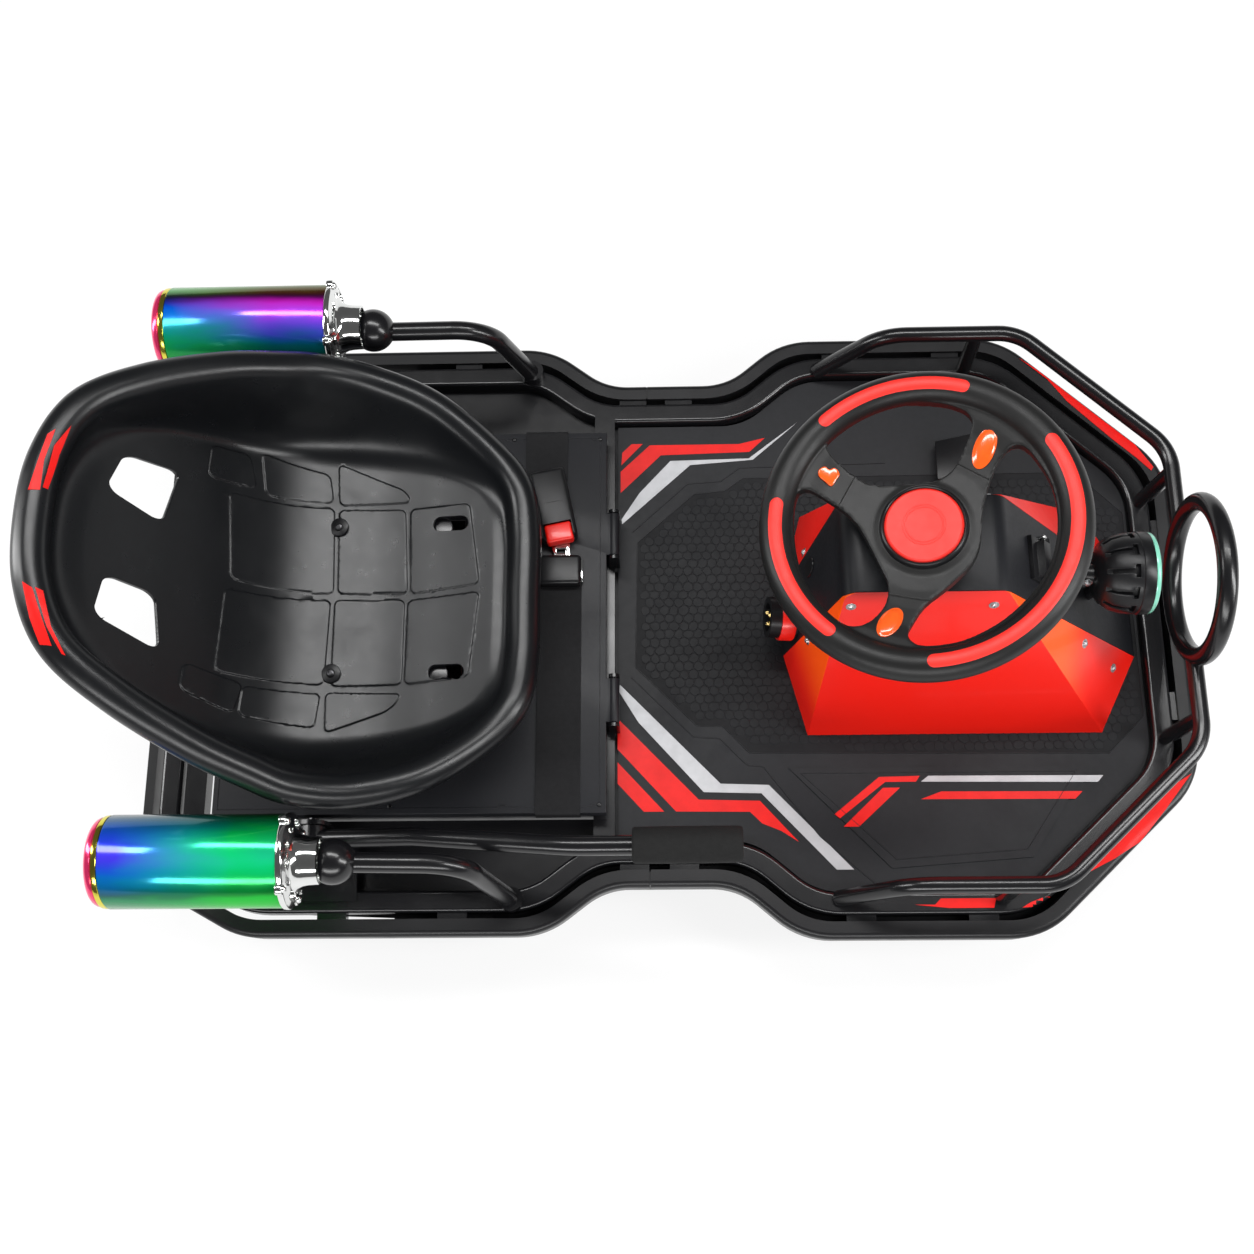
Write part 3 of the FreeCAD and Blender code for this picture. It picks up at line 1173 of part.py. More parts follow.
# ---------------------------------------------------------------- seat belt
def belt():
    z = LID_TOP + REST_GAP
    length, height = BUCKLE_SIZE
    x0 = BELT_X - length / 2
    x1 = BELT_X + length / 2
    inset, tang_low, tang_high = TANG
    front = BUCKLE_Y[0]
    body = block(x0, x1, front, BUCKLE_Y[1], z, z + height)
    body = body.makeFillet(BUCKLE_CORNER, body.Edges)
    recess = block(x0 + BUCKLE_WALL, x1 - BUCKLE_WALL, front - 1, front + BUTTON_DEPTH,
                   z + BUTTON_FLOOR, z + height + 1)
    slot = block(x0 + inset - REST_GAP, x1 - inset + REST_GAP, front - 1, front + BUTTON_DEPTH,
                 z + tang_low - REST_GAP, z + tang_high + REST_GAP)
    add("belt_buckle", body.cut(recess).cut(slot))
    wall = BUCKLE_WALL + REST_GAP
    add("buckle_button", block(x0 + wall, x1 - wall, front - BUTTON_PROUD, front + BUTTON_DEPTH - REST_GAP,
                               z + BUTTON_FLOOR, z + height - 1))
    housing = block(x0 - TONGUE_WIDER, x1 + TONGUE_WIDER, TONGUE_Y[0], TONGUE_Y[1],
                    z, z + height * TONGUE_SHARE)
    housing = housing.makeFillet(BUCKLE_CORNER, housing.Edges)
    blade = block(x0 + inset, x1 - inset, TONGUE_Y[1] - TONGUE_WIDER, front + BUTTON_DEPTH - BUCKLE_WALL,
                  z + tang_low, z + tang_high)
    add("belt_tongue", fuse([housing, blade]))
    right = belt_strap(BELT_X, TONGUE_Y[0] - STRAP_GAP)
    add("belt_strap_right", mirror_y(right))
    add("belt_strap_left", belt_strap(BELT_X - STRAP_SET, -BUCKLE_Y[1] - STRAP_GAP))


def belt_strap(x, inner_y):
    """Webbing over the lid and down its edge, on the left; inner_y is its inner end on the other side."""
    z = LID_TOP + REST_GAP
    edge = LID_HALF_WIDTH + REST_GAP
    half = WEB_WIDTH / 2
    flat = block(x - half, x + half, -inner_y, edge + WEB_THICK, z, z + WEB_THICK)
    drop = block(x - half, x + half, edge, edge + WEB_THICK,
                 LID_TOP - LID_THICK - LID_SKIRT + STRAP_ABOVE_SKIRT, z + WEB_THICK)
    return fuse([flat, drop])


# ---------------------------------------------------------------- mufflers
def muffler():
    centre = v(0, MUFFLER_Y, MUFFLER_Z)
    ahead = v(1, 0, 0)

    def ring(x0, x1, r):
        return rod(centre + ahead * x0, centre + ahead * x1, r)

    flange_x = CAN_FRONT_X + FLANGE_THICK
    can = ring(CAN_REAR_X + CAN_CAP, CAN_FRONT_X, CAN_R)
    cap = Part.makeCone(CAN_R - CAN_CAP_DRAW, CAN_R, CAN_CAP, centre + ahead * CAN_REAR_X, ahead)
    outlet = ring(CAN_REAR_X - 1, CAN_REAR_X + OUTLET_DEPTH, CAN_R * OUTLET_SHARE)
    flange = ring(CAN_FRONT_X, flange_x, CAN_R + FLANGE_PROUD)
    neck = Part.makeCone(NECK_R + NECK_FLARE, NECK_R, NECK_FRONT_X - flange_x,
                         centre + ahead * flange_x, ahead)
    lugs = []
    for i in range(FLANGE_LUGS):
        foot = v(CAN_FRONT_X, MUFFLER_Y, MUFFLER_Z + CAN_R)
        lug = rod(foot, foot + ahead * FLANGE_THICK, FLANGE_LUG_R)
        lugs.append(turned(lug, centre, ahead, 360 * (i + 0.5) / FLANGE_LUGS))
    return fuse([can, cap, flange, neck] + lugs).cut(outlet)


def exhaust_pipe():
    dome = Part.makeSphere(DOME_R, v(DOME_X, MUFFLER_Y, MUFFLER_Z - DOME_DROP))
    dome = dome.common(block(NECK_FRONT_X, 0, 0, 500, 0, 500))
    foot_y = side_rail_y(PIPE_FOOT_X)
    points = [
        v(PIPE_FOOT_X, foot_y, FRAME_TOP),
        v(PIPE_ELBOW_X, MUFFLER_Y + PIPE_ELBOW_OUT, MUFFLER_Z - PIPE_ELBOW_DROP),
        v(DOME_X, MUFFLER_Y, MUFFLER_Z - PIPE_DOME_DROP),
    ]
    pipe = tube_along(bent_wire(points, PIPE_BEND), PIPE_R)
    wall, height = PIPE_COLLAR
    collar = rod(points[0], points[0] + v(0, 0, height), PIPE_R + wall)
    floor = block(-900, 900, -500, 500, 0, FRAME_TOP)
    return fuse([dome, pipe, collar]).cut(floor)


def side_rail_y(x):
    points = frame_points()
    for (x0, y0), (x1, y1) in zip(points, points[1:]):
        if y0 > 0 and y1 > 0 and min(x0, x1) <= x <= max(x0, x1) and x0 != x1:
            return y0 + (y1 - y0) * (x - x0) / (x1 - x0)
    return REAR_HALF_WIDTH - FRAME_INSET


def exhausts():
    can = muffler()
    pipe = exhaust_pipe()
    add("muffler_left", can)
    add("exhaust_pipe_left", pipe)
    for name, shape in (("muffler_right", can), ("exhaust_pipe_right", pipe)):
        right = mirror_y(shape)
        right.translate(v(-RIGHT_SET_BACK, 0, 0))
        add(name, right)


# ---------------------------------------------------------------- drift lever
def lever_bracket():
    y0 = LEVER_PIVOT_Y - BRACKET_INSIDE / 2
    y1 = LEVER_PIVOT_Y + BRACKET_INSIDE / 2
    rail_y = -(REAR_HALF_WIDTH - FRAME_INSET)
    plate = block(LEVER_PIVOT_X - BRACKET_PLATE_HALF, LEVER_PIVOT_X + BRACKET_PLATE_HALF, rail_y,
                  y1 + BRACKET_EAR, FRAME_TOP, FRAME_TOP + BRACKET_EAR)
    solids = [plate]
    for y in (y0 - BRACKET_EAR, y1):
        solids.append(block(LEVER_PIVOT_X - BRACKET_EAR_HALF, LEVER_PIVOT_X + BRACKET_EAR_HALF,
                            y, y + BRACKET_EAR, FRAME_TOP, LEVER_PIVOT_Z))
        solids.append(rod(v(LEVER_PIVOT_X, y, LEVER_PIVOT_Z),
                          v(LEVER_PIVOT_X, y + BRACKET_EAR, LEVER_PIVOT_Z), BRACKET_EAR_HALF))
    proud = BRACKET_EAR + BRACKET_PIN_PROUD
    solids.append(rod(v(LEVER_PIVOT_X, y0 - proud, LEVER_PIVOT_Z),
                      v(LEVER_PIVOT_X, y1 + proud, LEVER_PIVOT_Z), LEVER_PIN_R))
    add("lever_bracket", fuse(solids))


def drift_lever():
    pivot = v(LEVER_PIVOT_X, LEVER_PIVOT_Y, LEVER_PIVOT_Z)
    low, high = LEVER_KNEES
    end = v(GRIP_FRONT_X, LEVER_Y, LEVER_GRIP_Z)
    knee = v(LEVER_PIVOT_X + high[0], LEVER_Y, LEVER_PIVOT_Z + high[1])
    along = (end - knee).normalize()
    points = [pivot, pivot + v(low[0], (LEVER_Y - LEVER_PIVOT_Y) / 6, low[1]), knee, end - v(GRIP_LAP, 0, 0)]
    tube = tube_along(bent_wire(points, LEVER_BEND), LEVER_R)
    across = v(0, BRACKET_INSIDE / 2 - LEVER_SIDE_GAP, 0)
    boss = rod(pivot - across, pivot + across, LEVER_R + LEVER_BOSS_WALL)
    bore = rod(pivot - across * 2, pivot + across * 2, LEVER_PIN_R + RUNNING)
    add("drift_lever", fuse([tube, boss]).cut(bore))
    start = end - along * (GRIP_FRONT_X - GRIP_REAR_X)
    grip = rod(start, end, GRIP_R)
    core = rod(start - along * GRIP_LAP, end - along * GRIP_LAP, LEVER_R)
    add("lever_grip", grip.cut(core))


# ---------------------------------------------------------------- casters
def caster():
    """Swivel fork and wheel of the left caster; the wheel trails behind the swivel."""
    wheel_x = CASTER_X - CASTER_TRAIL
    half = CASTER_WHEEL_WIDTH / 2
    leg = half + CASTER_LEG_GAP
    deck = FRAME_BOTTOM - CASTER_HEAD_GAP - CASTER_HEAD
    behind, ahead = CASTER_CROWN
    pin = CASTER_AXLE_R - 1
    solids = [Part.makeCylinder(CASTER_HEAD_R, CASTER_HEAD, v(CASTER_X, CASTER_Y, deck))]
    swivel = v(CASTER_X, CASTER_Y, deck)
    solids.append(Part.makeCylinder(CASTER_AXLE_R, CASTER_PLATE + CASTER_AXLE_RISE, swivel))
    solids.append(block(CASTER_X + behind, CASTER_X + ahead, CASTER_Y - leg - CASTER_LEG,
                        CASTER_Y + leg + CASTER_LEG, deck - CASTER_LEG, deck + WELD_LAP))
    for side in (-1, 1):
        y0 = CASTER_Y + (leg if side > 0 else -leg - CASTER_LEG)
        outline = Part.makePolygon([
            v(CASTER_X + ahead, y0, deck), v(CASTER_X + behind, y0, deck),
            v(wheel_x - CASTER_FOOT_HALF, y0, CASTER_WHEEL_R - pin),
            v(wheel_x + CASTER_FOOT_HALF, y0, CASTER_WHEEL_R - pin - CASTER_LEG),
            v(CASTER_X + ahead, y0, deck),
        ])
        solids.append(Part.Face(outline).extrude(v(0, CASTER_LEG, 0)))
    end = leg + 2 * CASTER_LEG
    solids.append(rod(v(wheel_x, CASTER_Y - end, CASTER_WHEEL_R),
                      v(wheel_x, CASTER_Y + end, CASTER_WHEEL_R), pin))
    fork = fuse(solids)
    side = [
        (half, pin + RUNNING), (half, CASTER_HUB_R), (half - 3, CASTER_HUB_R + 2),
        (half - 3, CASTER_WHEEL_R - 8), (half, CASTER_WHEEL_R - 6), (half - 4, CASTER_WHEEL_R),
    ]
    tread = wheel_solid([(-y, r) for y, r in side] + side[::-1], v(wheel_x, CASTER_Y, CASTER_WHEEL_R))
    return fork, tread


def casters():
    fork, wheel = caster()
    add("caster_fork_left", fork)
    add("caster_fork_right", mirror_y(fork))
    add("caster_wheel_left", wheel)
    add("caster_wheel_right", mirror_y(wheel))


# ---------------------------------------------------------------- pedal
def pedal():
    middle_x = PEDAL_X + PEDAL_SET_BACK
    length, width, height = PEDAL_BASE
    base = block(middle_x - length / 2, middle_x + length / 2, PEDAL_Y - width / 2, PEDAL_Y + width / 2,
                 MAT_TOP, MAT_TOP + height)
    middle_z = MAT_TOP + PEDAL_RISE
    length, width, thick = PEDAL_PLATE
    plate = block(middle_x - length / 2, middle_x + length / 2, PEDAL_Y - width / 2, PEDAL_Y + width / 2,
                  middle_z - thick / 2, middle_z + thick / 2)
    plate = turned(plate, v(PEDAL_X, PEDAL_Y, middle_z), v(0, 1, 0), -PEDAL_SLOPE)
    depth, breadth = PEDAL_NECK
    neck_x = PEDAL_X + height / 2
    neck = block(neck_x, neck_x + depth, PEDAL_Y - breadth / 2, PEDAL_Y + breadth / 2,
                 MAT_TOP + height - WELD_LAP, middle_z + height - WELD_LAP)
    add("accelerator_pedal", fuse([base, plate, neck]))


def build():
    main_frame()
    floor_pan()
    floor_mat()
    bumpers()
    guard_rail()
    console()
    headlamp()
    hood_latch()
    charge_socket()
    steering_bridge()
    steering()
    front_fork()
    front_wheel()
    seat_box()
    seat_lid()
    seat_riser(seat_shell())
    belt()
    exhausts()
    lever_bracket()
    drift_lever()
    casters()
    pedal()


build()
os.makedirs("parts", exist_ok=True)
for name, shape in PARTS.items():
    shape.exportStep(os.path.join("parts", name + ".step"))
    print(name, len(shape.Solids), "solids", shape.isValid(), round(shape.Volume / 1000, 1))
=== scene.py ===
import bpy
import bmesh
import json
import math
import random
import numpy as np
from mathutils import Matrix, Vector


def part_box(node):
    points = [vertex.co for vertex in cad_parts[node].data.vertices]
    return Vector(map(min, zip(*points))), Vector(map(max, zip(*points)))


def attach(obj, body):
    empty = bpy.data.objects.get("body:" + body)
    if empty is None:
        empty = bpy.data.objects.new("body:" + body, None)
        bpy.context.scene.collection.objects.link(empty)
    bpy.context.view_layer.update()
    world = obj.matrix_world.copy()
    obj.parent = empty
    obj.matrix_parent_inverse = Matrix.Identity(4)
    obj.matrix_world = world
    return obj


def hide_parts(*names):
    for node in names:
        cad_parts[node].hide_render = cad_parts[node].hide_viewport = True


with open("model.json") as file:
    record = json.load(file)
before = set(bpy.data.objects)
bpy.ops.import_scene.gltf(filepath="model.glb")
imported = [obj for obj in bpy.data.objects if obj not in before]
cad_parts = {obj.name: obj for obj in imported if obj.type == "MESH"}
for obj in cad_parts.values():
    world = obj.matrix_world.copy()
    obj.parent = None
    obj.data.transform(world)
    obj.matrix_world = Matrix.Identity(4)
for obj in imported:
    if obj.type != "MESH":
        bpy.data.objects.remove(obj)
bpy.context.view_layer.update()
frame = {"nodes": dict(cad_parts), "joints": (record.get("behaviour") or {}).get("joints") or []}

nodes = frame["nodes"]
print("frame loaded,", len(nodes), "nodes")


# ---- small tools ----

def metres(values):
    # lengths written in millimetres, however nested
    if isinstance(values, dict):
        return {key: metres(value) for key, value in values.items()}
    if isinstance(values, (list, tuple)):
        return type(values)(metres(value) for value in values)
    return values / 1000


def deselectAll():
    if bpy.context.object and bpy.context.object.mode != "OBJECT":
        bpy.ops.object.mode_set(mode="OBJECT")
    bpy.ops.object.select_all(action="DESELECT")


def makeActive(piece):
    deselectAll()
    piece.select_set(True)
    bpy.context.view_layer.objects.active = piece


def openEdit(piece):
    makeActive(piece)
    bpy.ops.object.mode_set(mode="EDIT")
    bpy.ops.mesh.select_mode(type="VERT")
    bpy.ops.mesh.select_all(action="DESELECT")


def closeEdit():
    bpy.ops.object.mode_set(mode="OBJECT")


def selectAll():
    bpy.ops.mesh.select_all(action="SELECT")


def evenNormals(merge=0.0):
    # all normals outwards, after merging what lies closer than the distance
    selectAll()
    if merge:
        bpy.ops.mesh.remove_doubles(threshold=merge)
    bpy.ops.mesh.normals_make_consistent(inside=False)


def extrudeUp(height):
    bpy.ops.mesh.extrude_region_move(TRANSFORM_OT_translate={"value": (0, 0, height)})


def pickFaces(piece, test):
    # selects the faces whose centre and normal pass the test
    bpy.ops.mesh.select_mode(type="FACE")
    mesh = bmesh.from_edit_mesh(piece.data)
    mesh.normal_update()
    for face in mesh.faces:
        face.select_set(bool(test(face.calc_center_median(), face.normal)))
    mesh.select_flush_mode()
    bmesh.update_edit_mesh(piece.data)


def pickEdges(piece, test):
    # selects the edges whose two ends and face angle pass the test, returns how many
    bpy.ops.mesh.select_mode(type="EDGE")
    mesh = bmesh.from_edit_mesh(piece.data)
    mesh.normal_update()
    for edge in mesh.edges:
        edge.select_set(False)
    picked = 0
    for edge in mesh.edges:
        if test(edge.verts[0].co, edge.verts[1].co, edge.calc_face_angle(0.0)):
            edge.select_set(True)
            picked += 1
    bmesh.update_edit_mesh(piece.data)
    return picked


def changeFaces(piece, chosen, change):
    # selects the faces that the mask marks and calls the change
    openEdit(piece)
    bpy.ops.mesh.select_mode(type="FACE")
    mesh = bmesh.from_edit_mesh(piece.data)
    mesh.faces.ensure_lookup_table()
    for index in np.nonzero(chosen)[0]:
        mesh.faces[index].select_set(True)
    bmesh.update_edit_mesh(piece.data)
    change()
    closeEdit()


def deleteFaces(piece, chosen):
    changeFaces(piece, chosen, lambda: bpy.ops.mesh.delete(type="FACE"))


def splitFaces(piece, chosen):
    changeFaces(piece, chosen, lambda: bpy.ops.mesh.subdivide(number_cuts=1))


def bevelWhere(piece, test, width, segments, clamp=False):
    openEdit(piece)
    if pickEdges(piece, test):
        bpy.ops.mesh.bevel(offset=width, segments=segments, affect="EDGES", clamp_overlap=clamp)
    closeEdit()


def bevelSharp(piece, width, segments=2, angle=40):
    # rounds every edge sharper than the angle
    bevelWhere(piece, lambda a, b, turn: turn > math.radians(angle), width, segments, clamp=True)


def flipUp(piece, wrong):
    # turns all normals over where the test says they are wrong
    if wrong:
        openEdit(piece)
        selectAll()
        bpy.ops.mesh.flip_normals()
        closeEdit()


def addWall(piece, thick, offset=-1):
    wall = piece.modifiers.new("wall", "SOLIDIFY")
    wall.thickness = thick
    wall.offset = offset


def applyAll(piece):
    makeActive(piece)
    for modifier in list(piece.modifiers):
        bpy.ops.object.modifier_apply(modifier=modifier.name)


def joinPieces(pieces):
    deselectAll()
    for piece in pieces:
        piece.select_set(True)
    bpy.context.view_layer.objects.active = pieces[0]
    bpy.ops.object.join()
    return pieces[0]


def addObject(name, data):
    piece = bpy.data.objects.new(name, data)
    bpy.context.scene.collection.objects.link(piece)
    return piece


def bakePlace(piece, place=None):
    # moves the piece by the matrix and leaves its object at the origin
    if place is not None:
        piece.matrix_world = place @ piece.matrix_world
    bpy.context.view_layer.update()
    makeActive(piece)
    bpy.ops.object.transform_apply(location=True, rotation=True, scale=True)


def finishPiece(piece, name, body, finish, smooth=35, place=None, node=None):
    # the node, where one is named, is the plain part that the piece takes over from
    applyAll(piece)
    bakePlace(piece, place)
    piece.name = name
    piece.data.name = name
    piece.data.materials.clear()
    piece.data.materials.append(finishes[finish])
    makeActive(piece)
    if smooth:
        bpy.ops.object.shade_smooth_by_angle(angle=math.radians(smooth))
    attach(piece, body)
    if node:
        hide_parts(node)


def readSpots(piece, what="vertices", field="co"):
    values = getattr(piece.data, what)
    spots = np.empty(len(values) * 3)
    values.foreach_get(field, spots)
    return spots.reshape(-1, 3)


def writeSpots(piece, spots):
    piece.data.vertices.foreach_set("co", spots.reshape(-1))
    piece.data.update()


def castDown(target, x, y, above=1.0, reach=100.0):
    # hit or not, spot and normal where a line straight down meets the target
    return target.ray_cast(Vector((x, y, above)), Vector((0, 0, -1)), distance=reach)[:3]


def boxAt(low, high):
    low, high = Vector(low), Vector(high)
    deselectAll()
    bpy.ops.mesh.primitive_cube_add(size=1, location=(low + high) / 2)
    piece = bpy.context.object
    piece.scale = high - low
    bakePlace(piece)
    return piece


def roundedBox(low, high, width, segments=2):
    piece = boxAt(low, high)
    bevelSharp(piece, width, segments)
    return piece


def gridAdd(columns, rows):
    deselectAll()
    bpy.ops.mesh.primitive_grid_add(x_subdivisions=columns, y_subdivisions=rows, size=2)
    return bpy.context.object


def ringAt(spots, fill):
    # a closed ring of vertices at the spots
    deselectAll()
    bpy.ops.mesh.primitive_circle_add(vertices=len(spots), radius=1, fill_type=fill)
    piece = bpy.context.object
    for vertex, spot in zip(piece.data.vertices, spots):
        vertex.co = spot
    return piece


def flatShape(points, z, thick):
    # a closed outline made into a thin plate with its top at z + thick
    area = sum(a[0] * b[1] - b[0] * a[1] for a, b in zip(points, points[1:] + points[:1]))
    ordered = points if area > 0 else points[::-1]
    piece = ringAt([(x, y, z) for x, y in ordered], "NGON")
    openEdit(piece)
    evenNormals()
    extrudeUp(thick)
    evenNormals()
    closeEdit()
    return piece


def turned(profile, steps=48):
    # spins a list of (radius, height) points round the Z axis into a closed solid
    piece = ringAt([(radius, 0, height) for radius, height in profile], "NOTHING")
    openEdit(piece)
    selectAll()
    bpy.ops.mesh.spin(steps=steps, angle=2 * math.pi, center=(0, 0, 0), axis=(0, 0, 1))
    evenNormals(merge=0.00002)
    closeEdit()
    return piece


def lineTube(points, radius, closed=False, sides=6):
    # a round bar along the points
    curve = bpy.data.curves.new("bar", "CURVE")
    curve.dimensions = "3D"
    curve.bevel_depth = radius
    curve.bevel_resolution = (sides - 4) // 2
    curve.use_fill_caps = True
    line = curve.splines.new("POLY")
    line.points.add(len(points) - 1)
    for spot, point in zip(line.points, points):
        spot.co = (*point, 1)
    line.use_cyclic_u = closed
    makeActive(addObject("bar", curve))
    bpy.ops.object.convert(target="MESH")
    return bpy.context.object


def cutWith(piece, cutters):
    for cutter in cutters:
        cut = piece.modifiers.new("cut", "BOOLEAN")
        cut.operation = "DIFFERENCE"
        cut.object = cutter
        cut.solver = "EXACT"
        applyAll(piece)
        bpy.data.objects.remove(cutter)


def roundedCutter(size, corner, low, high):
    cutter = boxAt((-size[0] / 2, -size[1] / 2, low), (size[0] / 2, size[1] / 2, high))
    bevelWhere(cutter, lambda a, b, turn: abs(a.z - b.z) > (high - low) / 2, corner, 6)
    return cutter


def spinZ(degrees):
    return Matrix.Rotation(math.radians(degrees), 4, "Z")


def turnTo(direction, spot=(0, 0, 0)):
    # a place whose Z axis points along the direction, at the spot
    quaternion = Vector(direction).normalized().to_track_quat("Z", "Y")
    return Matrix.Translation(Vector(spot)) @ quaternion.to_matrix().to_4x4()


# ---- shader pieces ----

def addNode(tree, kind, inputs=None, **settings):
    made = tree.nodes.new(kind)
    for key, value in settings.items():
        setattr(made, key, value)
    for key, value in (inputs or {}).items():
        if isinstance(value, bpy.types.NodeSocket):
            tree.links.new(value, made.inputs[key])
        else:
            made.inputs[key].default_value = value
    return made


def addMath(tree, operation, first, second=0.0, third=None, clamp=False):
    inputs = {0: first, 1: second} if third is None else {0: first, 1: second, 2: third}
    return addNode(tree, "ShaderNodeMath", inputs, operation=operation, use_clamp=clamp).outputs[0]


def addRange(tree, value, fromLow, fromHigh, toLow=0.0, toHigh=1.0, smooth=False):
    return addNode(tree, "ShaderNodeMapRange", {
        "Value": value, "From Min": fromLow, "From Max": fromHigh, "To Min": toLow, "To Max": toHigh,
    }, interpolation_type="SMOOTHSTEP" if smooth else "LINEAR").outputs[0]


def addNoise(tree, space, scale, detail, roughness=0.5, twist=0.0):
    return addNode(tree, "ShaderNodeTexNoise", {"Vector": space, "Scale": scale, "Detail": detail,
                                                "Roughness": roughness, "Distortion": twist}).outputs["Fac"]


def mixColors(tree, factor, first, second):
    first, second = [(*color, 1) if isinstance(color, tuple) else color for color in (first, second)]
    return addNode(tree, "ShaderNodeMix", {0: factor, 6: first, 7: second}, data_type="RGBA").outputs[2]


def splitAxes(tree, vector):
    return addNode(tree, "ShaderNodeSeparateXYZ", {0: vector}).outputs


def newGroup(name, inputs, outputs):
    tree = bpy.data.node_groups.new(name, "ShaderNodeTree")
    for label, default in inputs.items():
        socket = tree.interface.new_socket(label, in_out="INPUT", socket_type="NodeSocketFloat")
        socket.default_value = default
    for label in outputs:
        tree.interface.new_socket(label, in_out="OUTPUT", socket_type="NodeSocketFloat")
    return tree, tree.nodes.new("NodeGroupInput").outputs, tree.nodes.new("NodeGroupOutput").inputs


def placeGroup(tree, group, **inputs):
    made = tree.nodes.new("ShaderNodeGroup")
    made.node_tree = group
    for key, value in inputs.items():
        made.inputs[key].default_value = value
    return made.outputs


def objectSpace(tree):
    return addNode(tree, "ShaderNodeTexCoord").outputs["Object"]


def makeGrain():
    # fine moulded or sprayed surface: small bumps and the slower unevenness under them
    tree, given, made = newGroup("surfaceGrain", {"Fine": 1800.0, "Slow": 40.0, "Share": 0.3}, ["Height", "Unevenness"])
    space = objectSpace(tree)
    fine = addNoise(tree, space, given["Fine"], 2.0, 0.6)
    slow = addNoise(tree, space, given["Slow"], 3.0, 0.55)
    tree.links.new(addMath(tree, "ADD", fine, addMath(tree, "MULTIPLY", slow, given["Share"])), made["Height"])
    tree.links.new(addRange(tree, slow, 0.3, 0.7), made["Unevenness"])
    return tree


def makeSmudges():
    # handling marks and a little dust: broad patches broken up by finer specks
    tree, given, made = newGroup("handlingSmudges", {"Patch": 9.0, "Speck": 420.0, "Reach": 0.5}, ["Smear", "Dust"])
    space = objectSpace(tree)
    patch = addNoise(tree, space, given["Patch"], 5.0, 0.62, twist=0.6)
    speck = addNode(tree, "ShaderNodeTexVoronoi", {"Vector": space, "Scale": given["Speck"]})
    tree.links.new(addRange(tree, patch, 0.45, 0.75, smooth=True), made["Smear"])
    dots = addRange(tree, speck.outputs["Distance"], 0.16, 0.06)
    scattered = addMath(tree, "MULTIPLY", dots, addRange(tree, patch, 0.5, 0.8))
    tree.links.new(addMath(tree, "MULTIPLY", scattered, given["Reach"], clamp=True), made["Dust"])
    return tree


grain = makeGrain()
smudges = makeSmudges()


def newMaterial(name, color, roughness, metallic=0.0, coat=0.0, glare=0.5):
    material = bpy.data.materials.new(name)
    material.use_nodes = True
    shader = material.node_tree.nodes["Principled BSDF"]
    for key, value in (("Base Color", (*color, 1)), ("Roughness", roughness), ("Metallic", metallic),
                       ("Coat Weight", coat), ("Coat Roughness", 0.08), ("Specular IOR Level", glare)):
        shader.inputs[key].default_value = value
    return material, material.node_tree, shader


def addSurface(tree, shader, tone, roughness, fine=1800, slow=40, share=0.3, bump=0.1, depth=0.0002,
               swing=0.1, dust=(0.06, 0.058, 0.054), dustShare=0.06):
    # the finish that painted and moulded parts share, from a plain colour or a colour socket
    surface = placeGroup(tree, grain, Fine=fine, Slow=slow, Share=share)
    marks = placeGroup(tree, smudges, Reach=dustShare)
    if isinstance(tone, tuple):
        tone = mixColors(tree, surface["Unevenness"], tone, tuple(part * 0.86 for part in tone))
    tree.links.new(mixColors(tree, marks["Dust"], tone, dust), shader.inputs["Base Color"])
    rough = addMath(tree, "MULTIPLY_ADD", marks["Smear"], swing, roughness)
    rough = addMath(tree, "MULTIPLY_ADD", surface["Unevenness"], swing * 0.4, rough)
    tree.links.new(rough, shader.inputs["Roughness"])
    lift = addNode(tree, "ShaderNodeBump", {"Strength": bump, "Distance": depth, "Height": surface["Height"]})
    tree.links.new(lift.outputs[0], shader.inputs["Normal"])


def paintedMaterial(name, color, roughness, metallic=0.0, coat=0.0, glare=0.5, **finish):
    material, tree, shader = newMaterial(name, color, roughness, metallic, coat, glare)
    addSurface(tree, shader, color, roughness, **finish)
    return material


# ---- finishes ----

